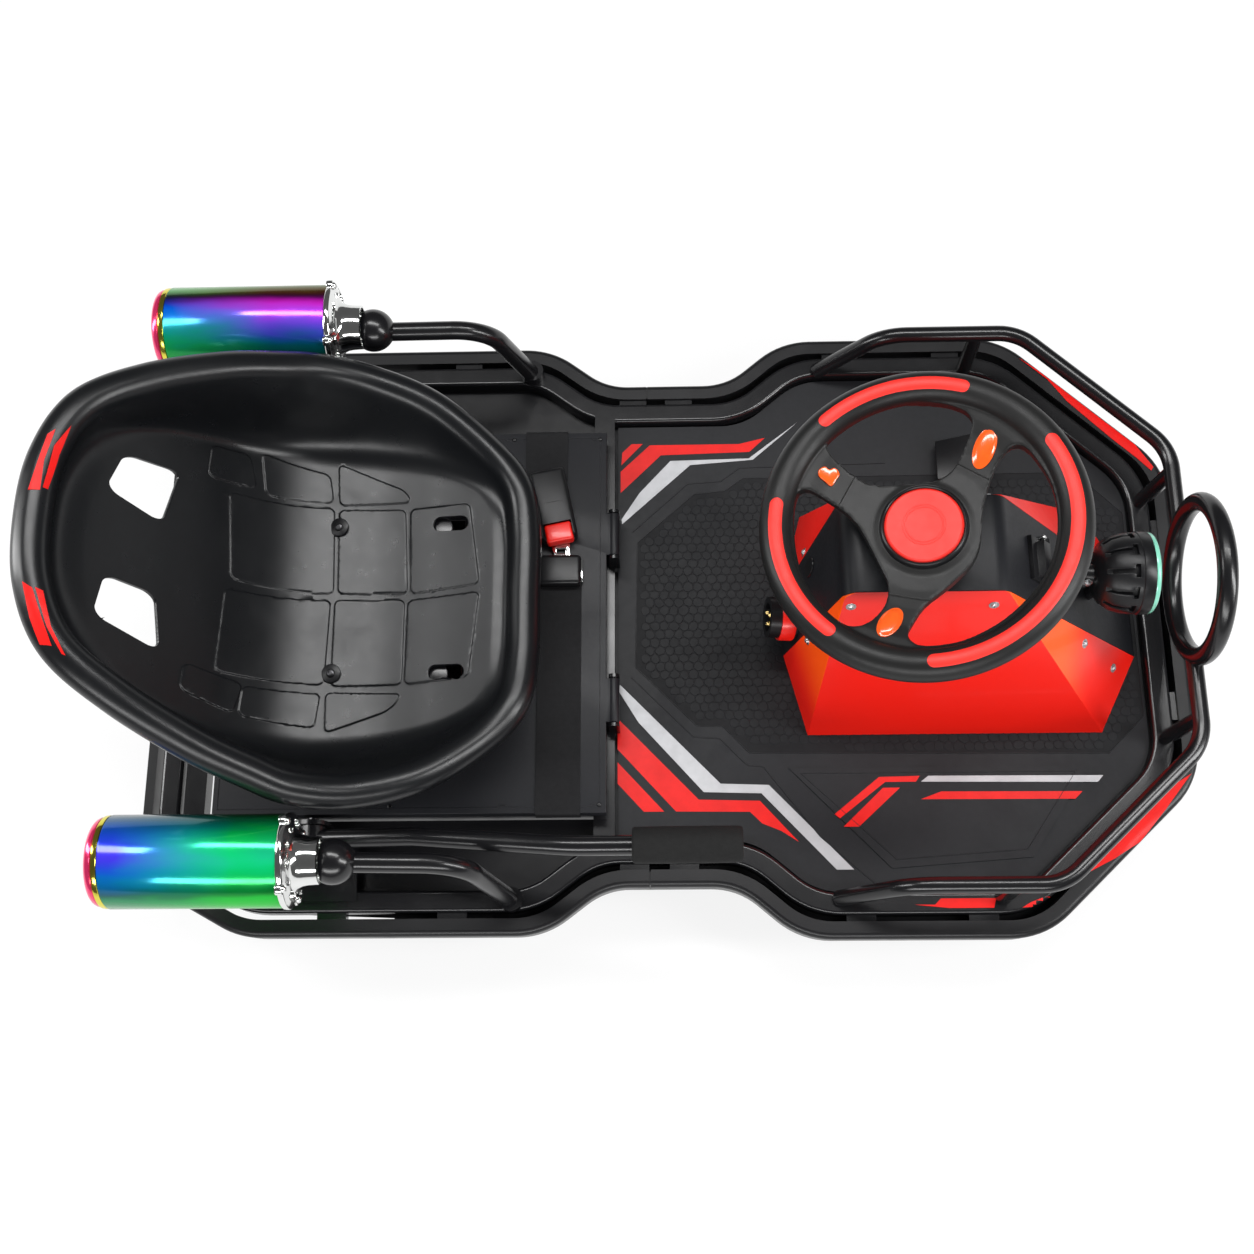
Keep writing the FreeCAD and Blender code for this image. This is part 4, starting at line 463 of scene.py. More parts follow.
finishTable = {
    # slot, colour, roughness, and what differs from the usual surface
    "powderBlack": ("black_steel", (0.006, 0.006, 0.007), 0.22,
                    dict(fine=1200, slow=60, share=0.4, bump=0.02, swing=0.05)),
    "sheetBlack": ("black_sheet", (0.01, 0.0105, 0.013), 0.4,
                   dict(glare=0.28, fine=1500, slow=200, share=0.5, bump=0.12)),
    "bumperRubber": ("bumper_rubber", (0.008, 0.008, 0.009), 0.32,
                     dict(glare=0.35, fine=700, slow=60, share=0.8, bump=0.08, depth=0.0003)),
    "blackPlastic": ("black_plastic", (0.006, 0.006, 0.007), 0.3, dict(glare=0.35, fine=1100, slow=90, bump=0.08)),
    "wheelSkin": ("wheel_foam", (0.009, 0.009, 0.009), 0.38, dict(glare=0.3, fine=1700, slow=150, bump=0.3)),
    "seatPlastic": ("seat_plastic", (0.005, 0.0055, 0.0065), 0.27,
                    dict(glare=0.38, fine=1500, slow=70, share=0.6, bump=0.08, swing=0.08)),
    "redPlastic": ("red_plastic", (0.84, 0.012, 0.006), 0.3, dict(fine=1000, slow=80, coat=0.2, dust=(0.7, 0.2, 0.17))),
    "zincSteel": ("zinc_steel", (0.55, 0.56, 0.57), 0.34,
                  dict(metallic=1.0, fine=1400, slow=300, bump=0.15, swing=0.16)),
    "castAlloy": ("motor_alloy", (0.5, 0.51, 0.53), 0.42,
                  dict(metallic=1.0, fine=900, slow=200, bump=0.25, swing=0.16)),
    "chromeSteel": ("zinc_steel", (0.82, 0.83, 0.82), 0.08, dict(metallic=1.0, fine=300, slow=30, bump=0.03)),
    "tyreRubber": ("tyre", (0.014, 0.014, 0.014), 0.62,
                   dict(fine=800, slow=100, bump=0.35, depth=0.0004, swing=0.14, dustShare=0.7)),
    "rollerRubber": ("caster_rubber", (0.03, 0.03, 0.032), 0.5, dict(fine=800, slow=100, bump=0.25, swing=0.14)),
    "batteryCase": ("battery_case", (0.028, 0.028, 0.031), 0.5, dict(fine=900, slow=90, bump=0.25)),
    "matRubber": ("mat_rubber", (0.012, 0.0125, 0.0145), 0.42, dict(glare=0.2, fine=1000, slow=160, bump=0.12)),
    "matPadRubber": ("mat_rubber", (0.0095, 0.01, 0.0115), 0.44, dict(glare=0.15, fine=1400, slow=160)),
    # a darker rubber for the plate under the pads: painted shade in the grooves
    "matGroove": ("mat_rubber", (0.009, 0.0093, 0.0106), 0.5, dict(glare=0.15, fine=1400, slow=160)),
    "foamBlack": ("foam_grip", (0.011, 0.011, 0.011), 0.8, dict(glare=0.2, fine=520, slow=200, bump=0.7, depth=0.0006)),
    "webbingBlack": ("webbing", (0.009, 0.009, 0.01), 0.7, dict(glare=0.2, fine=900, slow=200, bump=0.5)),
    "lensGlass": ("lamp_lens", (0.6, 0.75, 0.68), 0.1, dict(fine=400, bump=0.03)),
    "mintRing": ("lamp_lens", (0.22, 0.62, 0.46), 0.18, dict(fine=400, bump=0.04, coat=0.6)),
    "darkZinc": ("zinc_steel", (0.1, 0.1, 0.105), 0.3, dict(metallic=1.0, fine=900, slow=100)),
    "softRed": ("red_plastic", (0.8, 0.024, 0.016), 0.42,
                dict(glare=0.35, fine=1200, slow=120, bump=0.12, dust=(0.7, 0.3, 0.26))),
    "badgeRed": ("red_plastic", (0.86, 0.1, 0.008), 0.16,
                 dict(fine=500, slow=160, share=0.8, coat=0.8, dust=(0.8, 0.3, 0.2))),
    "goldChrome": ("rainbow_chrome", (0.8, 0.72, 0.1), 0.1, dict(metallic=1.0, fine=400, bump=0.04)),
    "pinkChrome": ("rainbow_chrome", (0.86, 0.035, 0.16), 0.16,
                   dict(metallic=0.6, fine=400, bump=0.04, coat=0.6, dust=(0.8, 0.4, 0.5))),
    # near-black, rough finish for the inside of the muffler's pipe
    "sootBlack": ("rainbow_chrome", (0.012, 0.011, 0.01), 0.75, dict(fine=600, slow=200, bump=0.5)),
    "silverFilm": ("mat_rubber", (0.4, 0.405, 0.42), 0.36, dict(metallic=0.2, fine=1500, slow=60, bump=0.06)),
    "redFilm": ("red_plastic", (0.66, 0.007, 0.005), 0.34,
                dict(glare=0.2, fine=1500, slow=60, bump=0.06, dust=(0.6, 0.2, 0.17))),
    "brassPin": ("zinc_steel", (0.75, 0.55, 0.22), 0.25, dict(metallic=1.0, fine=800, slow=100)),
}

def makeFairingRed():
    # red sheet, with a painted orange reflection on its end facets towards their upper edges
    color = (0.80, 0.010, 0.004)
    material, tree, shader = newMaterial("fairingRed", color, 0.34, coat=0.1, glare=0.35)
    side = splitAxes(tree, addNode(tree, "ShaderNodeNewGeometry").outputs["Normal"])["X"]
    spot = splitAxes(tree, objectSpace(tree))
    # painted orange reflection: on facets facing along the kart, high up, on the right side, fading towards the front
    paintedSheen = addRange(tree, addMath(tree, "ABSOLUTE", side), 0.3, 0.5)
    for part in (addRange(tree, spot["Z"], 0.13, 0.24, smooth=True), addRange(tree, spot["Y"], 0.0, -0.03),
                 addRange(tree, spot["X"], 0.52, 0.46, smooth=True)):
        paintedSheen = addMath(tree, "MULTIPLY", paintedSheen, part)
    tone = mixColors(tree, paintedSheen, color, (0.95, 0.085, 0.002))
    addSurface(tree, shader, tone, 0.34, fine=1300, slow=110, share=0.5, bump=0.08, swing=0.08, dust=(0.6, 0.12, 0.08))
    return material


tintAndLightSizes = {
    "axisY": 0.317, "axisZ": 0.288, "rearX": -0.560, "frontX": -0.430,
    "gamma": 2.0, "gain": 1.35, "most": 0.92,
    # degrees out from the top of the can, and the colour there, which holds the tint together with painted light: a
    # bright painted highlight near the top, dark painted reflection bands and painted shade towards the sides
    "leftRear": [(-90, (0, 0.1, 0.04)), (-52, (0, 0.55, 0.16)), (-36, (0, 0.5, 0.3)), (-18, (0, 0.42, 0.8)),
                 (2, (0.01, 0.2, 0.72)), (16, (0, 0.03, 0.14)), (26, (0, 0.07, 0.05)), (36, (0.01, 0.4, 0.1)),
                 (60, (0.02, 0.55, 0.14)), (90, (0, 0.25, 0.1))],
    "leftFront": [(-90, (0, 0.06, 0.04)), (-52, (0, 0.3, 0.22)), (-36, (0.06, 0.16, 0.62)),
                  (-18, (0.42, 0.2, 0.85)), (2, (0.8, 0.1, 0.72)), (16, (0.3, 0.02, 0.3)), (26, (0.1, 0.01, 0.06)),
                  (36, (0.26, 0.1, 0.01)), (60, (0.16, 0.36, 0.02)), (90, (0.02, 0.2, 0.05))],
    "rightRear": [(-90, (0, 0.07, 0.07)), (-60, (0, 0.22, 0.26)), (-38, (0, 0.24, 0.48)), (-14, (0.1, 0.2, 0.85)),
                  (2, (0.26, 0.16, 0.85)), (18, (0.04, 0.22, 0.75)), (36, (0, 0.4, 0.62)), (52, (0, 0.12, 0.16)),
                  (62, (0, 0.4, 0.28)), (90, (0, 0.4, 0.12))],
    "rightFront": [(-90, (0, 0.03, 0.02)), (-60, (0, 0.13, 0.05)), (-38, (0, 0.34, 0.14)), (-14, (0, 0.62, 0.26)),
                   (2, (0, 0.78, 0.4)), (18, (0, 0.7, 0.3)), (36, (0, 0.6, 0.24)), (52, (0, 0.22, 0.09)),
                   (62, (0, 0.62, 0.16)), (90, (0, 0.5, 0.08))],
}


def makeHeatTint():
    # bluing colours round a heated chrome can, different front and rear, on either side of the kart, painted together
    # with light by angle round the can: a bright painted highlight near the top, dark painted reflection bands and
    # painted shade towards the sides
    sizes = tintAndLightSizes
    material, tree, shader = newMaterial("rainbowChrome", (0.2, 0.5, 0.6), 0.15, metallic=0.45)
    space = objectSpace(tree)
    split = splitAxes(tree, space)
    out = addMath(tree, "SUBTRACT", addMath(tree, "ABSOLUTE", split["Y"]), sizes["axisY"])
    angle = addMath(tree, "ARCTAN2", out, addMath(tree, "SUBTRACT", split["Z"], sizes["axisZ"]))
    drift = addNode(tree, "ShaderNodeMapping", {"Vector": space, "Scale": (5.0, 16.0, 16.0)})
    swirl = addRange(tree, addNoise(tree, drift.outputs[0], 1.4, 3.0), 0.25, 0.75, -0.16, 0.16)
    spread = addRange(tree, addMath(tree, "ADD", angle, swirl), -math.pi / 2, math.pi / 2)
    along = addRange(tree, split["X"], sizes["rearX"], sizes["frontX"])
    along = addMath(tree, "MULTIPLY_ADD", swirl, 1.2, along, clamp=True)
    ramps = []
    for name in ("leftRear", "leftFront", "rightRear", "rightFront"):
        ramp = addNode(tree, "ShaderNodeValToRGB", {0: spread})
        elements = ramp.color_ramp.elements
        ramp.color_ramp.interpolation = "B_SPLINE"
        while len(elements) < len(sizes[name]):
            elements.new(0.5)
        for element, (degrees, color) in zip(elements, sizes[name]):
            element.position = (degrees + 90) / 180
            shown = [min(part ** sizes["gamma"] * sizes["gain"], sizes["most"]) for part in color]
            element.color = (*shown, 1)
        ramps.append(ramp.outputs[0])
    left, right = mixColors(tree, along, *ramps[:2]), mixColors(tree, along, *ramps[2:])
    tone = mixColors(tree, addMath(tree, "GREATER_THAN", split["Y"]), right, left)
    addSurface(tree, shader, tone, 0.12, fine=500, slow=60, bump=0.02, dust=(0.4, 0.5, 0.5), dustShare=0.15)
    return material


finishes = {name: paintedMaterial(name, color, roughness, **finish)
            for name, (slot, color, roughness, finish) in finishTable.items()}
finishes.update(fairingRed=makeFairingRed(), rainbowChrome=makeHeatTint())
slots = {name: row[0] for name, row in finishTable.items()}
slots.update(fairingRed="red_sheet", rainbowChrome="rainbow_chrome")
print("finishes made")

# nodes that are shown as they come
nodeFinishes = {
    "powderBlack": ["main_frame", "steering_bridge", "front_fork", "lever_bracket"],
    "sheetBlack": ["floor_pan", "seat_box"],
    "matRubber": ["floor_mat"],
    "bumperRubber": ["front_bumper", "rear_bumper_left", "rear_bumper_right", "rear_bumper_middle"],
    "blackPlastic": ["charge_socket"],
    "zincSteel": ["steering_column", "caster_fork_left", "caster_fork_right"],
    "tyreRubber": ["front_tyre"],
    "castAlloy": ["front_hub"],
    "batteryCase": ["battery_pack"],
    "rollerRubber": ["caster_wheel_left", "caster_wheel_right"],
}
for finish, names in nodeFinishes.items():
    for name in names:
        nodes[name].data.materials.clear()
        nodes[name].data.materials.append(finishes[finish])


# ---- seat ----

def alongCurve(points, spot, closed=False):
    # smooth curve through the points; spot counts them and may fall between two
    count = len(points)
    start = int(math.floor(spot))
    if not closed:
        start = min(max(start, 0), count - 2)
    part = spot - start
    indexes = [start + step for step in (-1, 0, 1, 2)]
    before, a, b, after = [Vector(points[index % count if closed else min(max(index, 0), count - 1)])
                           for index in indexes]
    return 0.5 * (2 * a + (b - before) * part + (2 * before - 5 * a + 4 * b - after) * part ** 2
                  + (3 * a - before - 3 * b + after) * part ** 3)


def padDistance(spots, corners, rounding):
    # signed distances to a polygon with rounded corners, below nought inside
    corners = np.array(corners)
    after = np.roll(corners, -1, axis=0)
    area = np.sum(corners[:, 0] * after[:, 1] - after[:, 0] * corners[:, 1])
    run = after - corners
    length = np.hypot(run[:, 0], run[:, 1])
    gap = spots[:, None, :] - corners[None, :, :]
    outs = np.sign(area) * (gap[:, :, 0] * run[:, 1] - gap[:, :, 1] * run[:, 0]) / length + rounding
    outs = np.sort(outs, axis=1)[:, ::-1]
    atCorner = np.hypot(np.maximum(outs[:, 0], 0), np.maximum(outs[:, 1], 0))
    return np.where(outs[:, 0] > 0, atCorner, outs[:, 0]) - rounding


def padsNear(spots, pads, rounding):
    return np.min([padDistance(spots, pad, rounding) for pad in pads], axis=0)


def mirrored(points):
    # the left half's points, then the right half's back to the first
    return list(points) + [(x, -y, *rest) for x, y, *rest in points[-2:0:-1]]


seatSizes = {
    "rings": 52, "panRings": 34, "rollRings": 12, "profileSteps": 40,
    # degrees round the roll
    "rollStart": 150, "rollEnd": -62,
    "middle": (-0.36, 0, 0.35), "pan": (-0.36, 0, 0.22), "dish": 0.22, "pull": 1.1,
    # how far up a face looks where the pads and holes may mark it
    "flat": 0.3,
    # how far the pan's edge leans at each point of it, in degrees
    "lean": [-8, -6, 0, 2, 3, 6, 14, 26, 42, 52, 57, 58, 58],
    **metres({
        "wall": 4.5, "rollRadius": 19,
        # middle of the pan, front to top of the backrest
        "profile": [(-128, 240), (-150, 236), (-182, 229), (-250, 220), (-325, 215), (-400, 223), (-465, 264),
                    (-520, 336), (-570, 412), (-600, 458), (-615, 482)],
        # left half, front middle to rear middle: pan's edge in plan and the roll's middle
        "edge": [(-178, 0), (-179, 60), (-184, 104), (-208, 134), (-258, 152), (-325, 162), (-390, 166),
                 (-445, 164), (-492, 160), (-527, 148), (-556, 122), (-574, 68), (-581, 0)],
        "roll": [(-141, 0, 228), (-141, 74, 230), (-150, 129, 235), (-182, 171, 242), (-248, 221, 268),
                 (-317, 243, 292.6), (-375, 245, 322), (-415, 233, 351), (-465, 213, 389), (-531, 175, 437),
                 (-583, 131, 469), (-610, 70, 480), (-617, 0, 482)],
        "refine": [3.8, 2, 1], "padRise": 1.2, "padCorner": 7, "padSlope": 1.4,
        "pads": [
            [(-495, 160), (-462, 164), (-453, 126), (-497, 121)],
            [(-450, 170), (-376, 156), (-370, 121), (-444, 120)],
            [(-366, 170), (-283, 134), (-278, 120), (-363, 118)],
            [(-478, 112), (-369, 114), (-365, 8), (-472, 9)],
            [(-363, 112), (-284, 111), (-278, 7), (-360, 8)],
            [(-278, 111), (-207, 115), (-193, 15), (-274, 6)],
            [(-476, -4), (-368, 0), (-370, -103), (-479, -103)],
            [(-363, 0), (-281, -1), (-280, -104), (-362, -105)],
            [(-277, -2), (-193, 5), (-203, -98), (-277, -104)],
            [(-453, -114), (-373, -114), (-377, -155), (-455, -149)],
            [(-367, -113), (-279, -115), (-291, -134), (-365, -161)],
            [(-503, -103), (-453, -112), (-460, -148), (-505, -134)],
        ],
        "holeCorner": 10,
        "holes": [
            [(-571, 62), (-560, 108), (-518, 113), (-529, 46)],
            [(-566, -33), (-529, -36), (-522, -99), (-571, -80)],
        ],
        "slotCorner": 8.8,
        "slots": [
            [(-250, 82), (-250, 100), (-208, 100), (-208, 82)],
            [(-250, -100), (-250, -82), (-208, -82), (-208, -100)],
        ],
        # ends along the kart, out from the middle and up, of where the cut edges are rounded
        "zones": [[(-580, -510), (25, 120), (310, 1000)], [(-254, -204), (78, 104), (0, 1000)]], "cutRound": 1,
        "snapStep": 0.2, "snapReach": 6, "stripeThick": 0.5,
        "stripes": [
            [(-598, 92), (-605, 85.5), (-616.5, 23), (-606, 24), (-605, 56.5)],
            [(-585.5, 99), (-598, 74), (-604, 27.5), (-600.5, 27), (-594, 66)],
            [(-612, -74), (-602, -80.5), (-592, -107), (-580, -137.5), (-592, -136), (-602.5, -110)],
            [(-599.5, -79.5), (-593, -82), (-582, -118.5), (-567.5, -146), (-571, -144.7), (-585.5, -119.5)],
        ],
    }),
}

seatProfile = np.array([
    alongCurve([(x, z, 0) for x, z in seatSizes["profile"]], step / seatSizes["profileSteps"])[:]
    for step in range(seatSizes["profileSteps"] * (len(seatSizes["profile"]) - 1) + 1)])
seatRim = {
    "edge": mirrored([(x, y, 0) for x, y in seatSizes["edge"]]),
    "roll": mirrored(seatSizes["roll"]),
    "lean": mirrored([(angle, 0, 0) for angle in seatSizes["lean"]]),
}


def seatPan(x, y=0.0):
    # height of the pan at a place in plan
    return float(np.interp(-x, -seatProfile[:, 0], seatProfile[:, 1])) + seatSizes["dish"] * y ** 2


def seatEdges(spot):
    # pan edge, roll middle and lean at a place round the rim, 0 at the front and 12 at the back
    edge, roll, lean = [alongCurve(seatRim[key], spot % 24, closed=True) for key in ("edge", "roll", "lean")]
    return edge, roll, math.radians(lean[0])


def seatLine(spot):
    # points from the middle of the pan out over the rolled rim
    sizes = seatSizes
    edge, roll, lean = seatEdges(spot)
    ahead = (seatEdges(spot + 0.05)[1] - seatEdges(spot - 0.05)[1]).normalized()
    up = Vector((math.sin(lean), 0, math.cos(lean)))
    up = (up - ahead * up.dot(ahead)).normalized()
    out = up.cross(ahead) * -1
    if out.dot(roll - Vector(sizes["middle"])) < 0:
        out = -out

    def onRoll(angle):
        turn = math.radians(angle)
        return roll + (out * math.cos(turn) + up * math.sin(turn)) * sizes["rollRadius"]

    points = []
    inside = sizes["panRings"]
    for ring in range(inside):
        flat = Vector((sizes["middle"][0], 0)).lerp(edge.xy, ring / inside)
        points.append(Vector((flat.x, flat.y, seatPan(flat.x, flat.y))))
    start = Vector((edge.x, edge.y, seatPan(edge.x, edge.y)))
    end = onRoll(sizes["rollStart"])
    pull = (end - start).length * sizes["pull"]
    leaving = (start - points[-1]).normalized() * pull
    arriving = (onRoll(sizes["rollStart"] - 1) - end).normalized() * pull
    walls = sizes["rings"] - inside
    for ring in range(walls):
        t = ring / walls
        points.append(start * (2 * t ** 3 - 3 * t ** 2 + 1) + leaving * (t ** 3 - 2 * t ** 2 + t)
                      + end * (3 * t ** 2 - 2 * t ** 3) + arriving * (t ** 3 - t ** 2))
    for ring in range(sizes["rollRings"] + 1):
        share = ring / sizes["rollRings"]
        points.append(onRoll(sizes["rollStart"] + (sizes["rollEnd"] - sizes["rollStart"]) * share))
    return points


def seatHoles():
    sizes = seatSizes
    return [(outline, sizes["holeCorner"]) for outline in sizes["holes"]] \
        + [(outline, sizes["slotCorner"]) for outline in sizes["slots"]]


def snapHoles(piece):
    # moves the cut edge on to the holes' outlines, along the pan
    mesh = bmesh.new()
    mesh.from_mesh(piece.data)
    edge = [vertex.index for vertex in mesh.verts if vertex.is_boundary]
    mesh.free()
    spots = readSpots(piece)
    step = seatSizes["snapStep"]
    for index in edge:
        for outline, corner in seatHoles():
            spot = spots[index]
            for _ in range(3):
                x, y = spot[:2]
                gaps = padDistance(np.array([[x, y], [x + step, y], [x, y + step]]), outline, corner)
                if abs(gaps[0]) > seatSizes["snapReach"]:
                    break
                slope = (gaps[1:] - gaps[0]) / step
                move = -gaps[0] * slope / max(float(slope @ slope), 0.2)
                spot[2] += seatPan(x + move[0], y + move[1]) - seatPan(x, y)
                spot[:2] += move
    writeSpots(piece, spots)


def rimSpot(i, j, ring):
    # which place round the rim a corner of the square grid belongs to
    if ring == 0:
        return 0.0
    if j == ring:
        return 3 + 3 * (i + ring) / ring
    if i == ring and j > -ring:
        return 9 + 3 * (ring - j) / ring
    if j == -ring:
        return 15 + 3 * (ring - i) / ring
    return (21 + 3 * (j + ring) / ring) % 24


def makeSeat():
    sizes = seatSizes
    reach = sizes["rings"] + sizes["rollRings"]
    seat = gridAdd(2 * reach, 2 * reach)
    lines = {}
    spots = readSpots(seat)
    for index, (x, y, _) in enumerate(spots):
        i, j = round(x * reach), round(y * reach)
        ring = max(abs(i), abs(j))
        key = round(rimSpot(i, j, ring), 2)
        if key not in lines:
            lines[key] = seatLine(key)
        spots[index] = lines[key][ring]
    writeSpots(seat, spots)
    for width in sizes["refine"]:
        plan = readSpots(seat, "polygons", "center")[:, :2]
        level = np.abs(readSpots(seat, "polygons", "normal")[:, 2]) > sizes["flat"]
        close = np.abs(padsNear(plan, sizes["pads"], sizes["padCorner"])) < width
        for outline, corner in seatHoles():
            close |= np.abs(padDistance(plan, outline, corner)) < width
        splitFaces(seat, close & level)
    plan = readSpots(seat, "polygons", "center")[:, :2]
    level = np.abs(readSpots(seat, "polygons", "normal")[:, 2]) > sizes["flat"]
    gone = np.min([padDistance(plan, outline, corner) for outline, corner in seatHoles()], axis=0) < 0
    deleteFaces(seat, gone & level)
    snapHoles(seat)
    openEdit(seat)
    evenNormals()
    closeEdit()
    flipUp(seat, topNormal(seat, sizes["pan"]) < 0)
    spots = readSpots(seat)
    normals = readSpots(seat, "vertices", "normal")
    near = padsNear(spots[:, :2], sizes["pads"], sizes["padCorner"])
    share = np.clip(0.5 - near / sizes["padSlope"], 0, 1)
    rise = sizes["padRise"] * share * share * (3 - 2 * share) * (normals[:, 2] > sizes["flat"])
    writeSpots(seat, spots + normals * rise[:, None])
    addWall(seat, sizes["wall"])
    applyAll(seat)
    return seat


def topNormal(piece, spot):
    # how far up the face nearest the spot looks
    return min(piece.data.polygons, key=lambda face: (face.center - Vector(spot)).length).normal.z


def drapeShape(points, target, thick, lift=0.0002, fall=1.0):
    # lays a thin shape cut to the outline on the target from above
    cell, blank, farBelow = 0.004, 0.001, -2.0
    piece = flatShape(points, 0, blank)
    openEdit(piece)
    pickFaces(piece, lambda spot, normal: normal.z < 0.5)
    bpy.ops.mesh.delete(type="FACE")
    for axis, way in enumerate(((1, 0, 0), (0, 1, 0))):
        ends = [point[axis] for point in points]
        cut = min(ends) + cell
        while cut < max(ends):
            selectAll()
            bpy.ops.mesh.bisect(plane_co=Vector(way) * cut, plane_no=way)
            cut += cell
    closeEdit()
    for vertex in piece.data.vertices:
        x, y, _ = vertex.co
        hit, spot, normal = castDown(target, x, y, 2.0)
        vertex.co = spot + normal * (thick + lift) if hit else Vector((x, y, farBelow))
    # what fell past the edge is cut off
    heights = readSpots(piece)[:, 2]
    fallen = heights < np.median(heights) - fall
    deleteFaces(piece, np.array([any(fallen[index] for index in face.vertices) for face in piece.data.polygons]))
    addWall(piece, thick)
    applyAll(piece)
    return piece


def finishSeat():
    sizes = seatSizes
    seat = makeSeat()

    def nearHole(a, b, turn):
        x, y, z = (a + b) / 2
        return turn >= math.radians(60) and any(
            all(low < value < high for value, (low, high) in zip((x, abs(y), z), zone)) for zone in sizes["zones"])

    bevelWhere(seat, nearHole, sizes["cutRound"], 2, clamp=True)
    finishPiece(seat, "seatShell", "seat_and_lid", "seatPlastic", smooth=40, node="seat_shell")
    for count, outline in enumerate(sizes["stripes"]):
        stripe = drapeShape(outline, seat, sizes["stripeThick"])
        finishPiece(stripe, "seatStripe" + str(count), "seat_and_lid", "redFilm")
    return seat


seatPiece = finishSeat()
print("seat made,", len(seatPiece.data.polygons), "faces")


# ---- steering wheel ----

wheelSizes = {
    "rimSteps": 160, "tubeSteps": 36, "insertRows": 12, "insertStep": 1.2,   # the last in degrees
    **metres({
        "rimAlong": 122, "rimRadius": 152.5, "tube": 17.2, "voxel": 1.9,
        # half section of the boss and spokes, radius and height from the rim's plane
        "section": [(0, -11.2), (46, -11.2), (53, -13.2), (70, -11.8), (90, -8.2), (110, -3.6), (125, 1.2),
                    (144, 4.6), (144, -8), (125, -12), (100, -19), (70, -26), (53, -30), (50, -41), (0, -41)],
        "windows": [
            [(-96, 98), (-93, 110), (-73, 126), (-45, 135), (-14, 137), (24, 132), (46, 123), (55, 113), (55, 102),
             (46, 82), (33, 62), (11, 50), (-23, 50), (-51, 52), (-68, 62), (-90, 83)],
            [(94, 78), (107, 74), (120, 54), (130, 29), (133, -4), (127, -38), (114, -68), (90, -95), (63, -115),
             (30, -129), (0, -132), (-16, -129), (-23, -118), (-18, -106), (-4, -85), (19, -67), (45, -43),
             (56, -18), (60, 15), (69, 44), (80, 66)],
            [(-130, 37), (-125, 46), (-115, 47), (-100, 38), (-84, 26), (-69, 10), (-58, -12), (-46, -42),
             (-40, -60), (-43, -80), (-55, -97), (-70, -106), (-87, -103), (-109, -81), (-126, -48), (-133, -11),
             (-133, 19)],
        ],
        "windowLow": -70, "windowDeep": 140,
        "heart": [(-105.6, 66.8), (-102.8, 70.3), (-98, 71.8), (-93.6, 68.6), (-88.8, 70.3), (-84.4, 67.2),
                  (-83.3, 62.1), (-87, 57.2), (-91.2, 51.4), (-94.8, 51.5), (-99, 55.8), (-104.8, 61.1)],
        "heartThick": 2.4, "heartRound": 1.4,
        # where the hub's cover ends on each spoke
        "seams": [
            [(40, 66), (66, 48)],
            [(-68, 61), (-84, 34)],
            [(-37, -72), (-15, -77)],
        ],
        "seamReach": 42, "seamRefine": [3, 1.6], "seamStep": 1.3, "seamSlope": 0.7, "seamGroove": 0.6,
        "panelEnd": (112, 132),
        "insertThick": 1.1, "crown": 0.5, "sunk": 0.1, "capRing": 42.4, "capTop": -4, "emblem": [21.8, 19.2],
        # radius and height from the cap's ring and top, and for the fine rings round the emblem
        "collar": [(-1.2, -9), (-1.2, -1.2), (-0.2, -0.2), (1.2, -0.6), (2.6, -2.4), (3.6, -7.5), (3.6, -9)],
        "fineRing": [(-0.8, -0.4), (-0.6, 0.3), (0, 0.5), (0.6, 0.3), (0.8, -0.4)],
    }),
    # middle, half length and half width in metres, direction in degrees
    "badges": [((0.0665, 0.0795), 0.0225, 0.0112, 66), ((-0.0400, -0.1035), 0.0195, 0.0108, 58)],
    # start and end in degrees, middle radius and half width in metres
    "inserts": [(68.5, 131.5, 0.1505, 0.0072), (-92, 31.5, 0.1520, 0.0074), (167, 231, 0.1510, 0.0074)],
}


def wheelPlace():
    joint = next(joint for joint in frame["joints"] if joint["name"] == "steering_turn")
    axis = Vector(joint["axis"]).normalized()
    lean = math.atan2(-axis.x, axis.z)
    spot = Vector(joint["pos_m"]) + axis * wheelSizes["rimAlong"]
    return Matrix.Translation(spot) @ Matrix.Rotation(-lean, 4, "Y")


def smoothOutline(points, cuts=3):
    # rounds a closed outline's corners a little
    points = [(*point, 0) for point in points]
    return [tuple(alongCurve(points, step / cuts, closed=True)[:2]) for step in range(len(points) * cuts)]


def layOn(spot, normal, degrees):
    # a place on a surface: Z along the normal and X along the direction in plan
    up = Vector(normal).normalized()
    along = Vector((math.cos(math.radians(degrees)), math.sin(math.radians(degrees)), 0))
    along = (along - up * along.dot(up)).normalized()
    return Matrix.Translation(spot) @ Matrix((along, up.cross(along), up)).transposed().to_4x4()


def fromSeams(spots):
    # how far out past the hub cover's nearest seam each spot lies
    gaps = []
    for a, b in wheelSizes["seams"]:
        a, b = np.array(a), np.array(b)
        out = np.array([b[1] - a[1], a[0] - b[0]]) / np.hypot(*(b - a))
        if out @ a < 0:
            out = -out
        beside = np.abs((spots[:, :2] - (a + b) / 2) @ np.array([-out[1], out[0]]))
        gaps.append(np.where(beside < wheelSizes["seamReach"], (spots[:, :2] - a) @ out, -1.0))
    return np.max(gaps, axis=0)


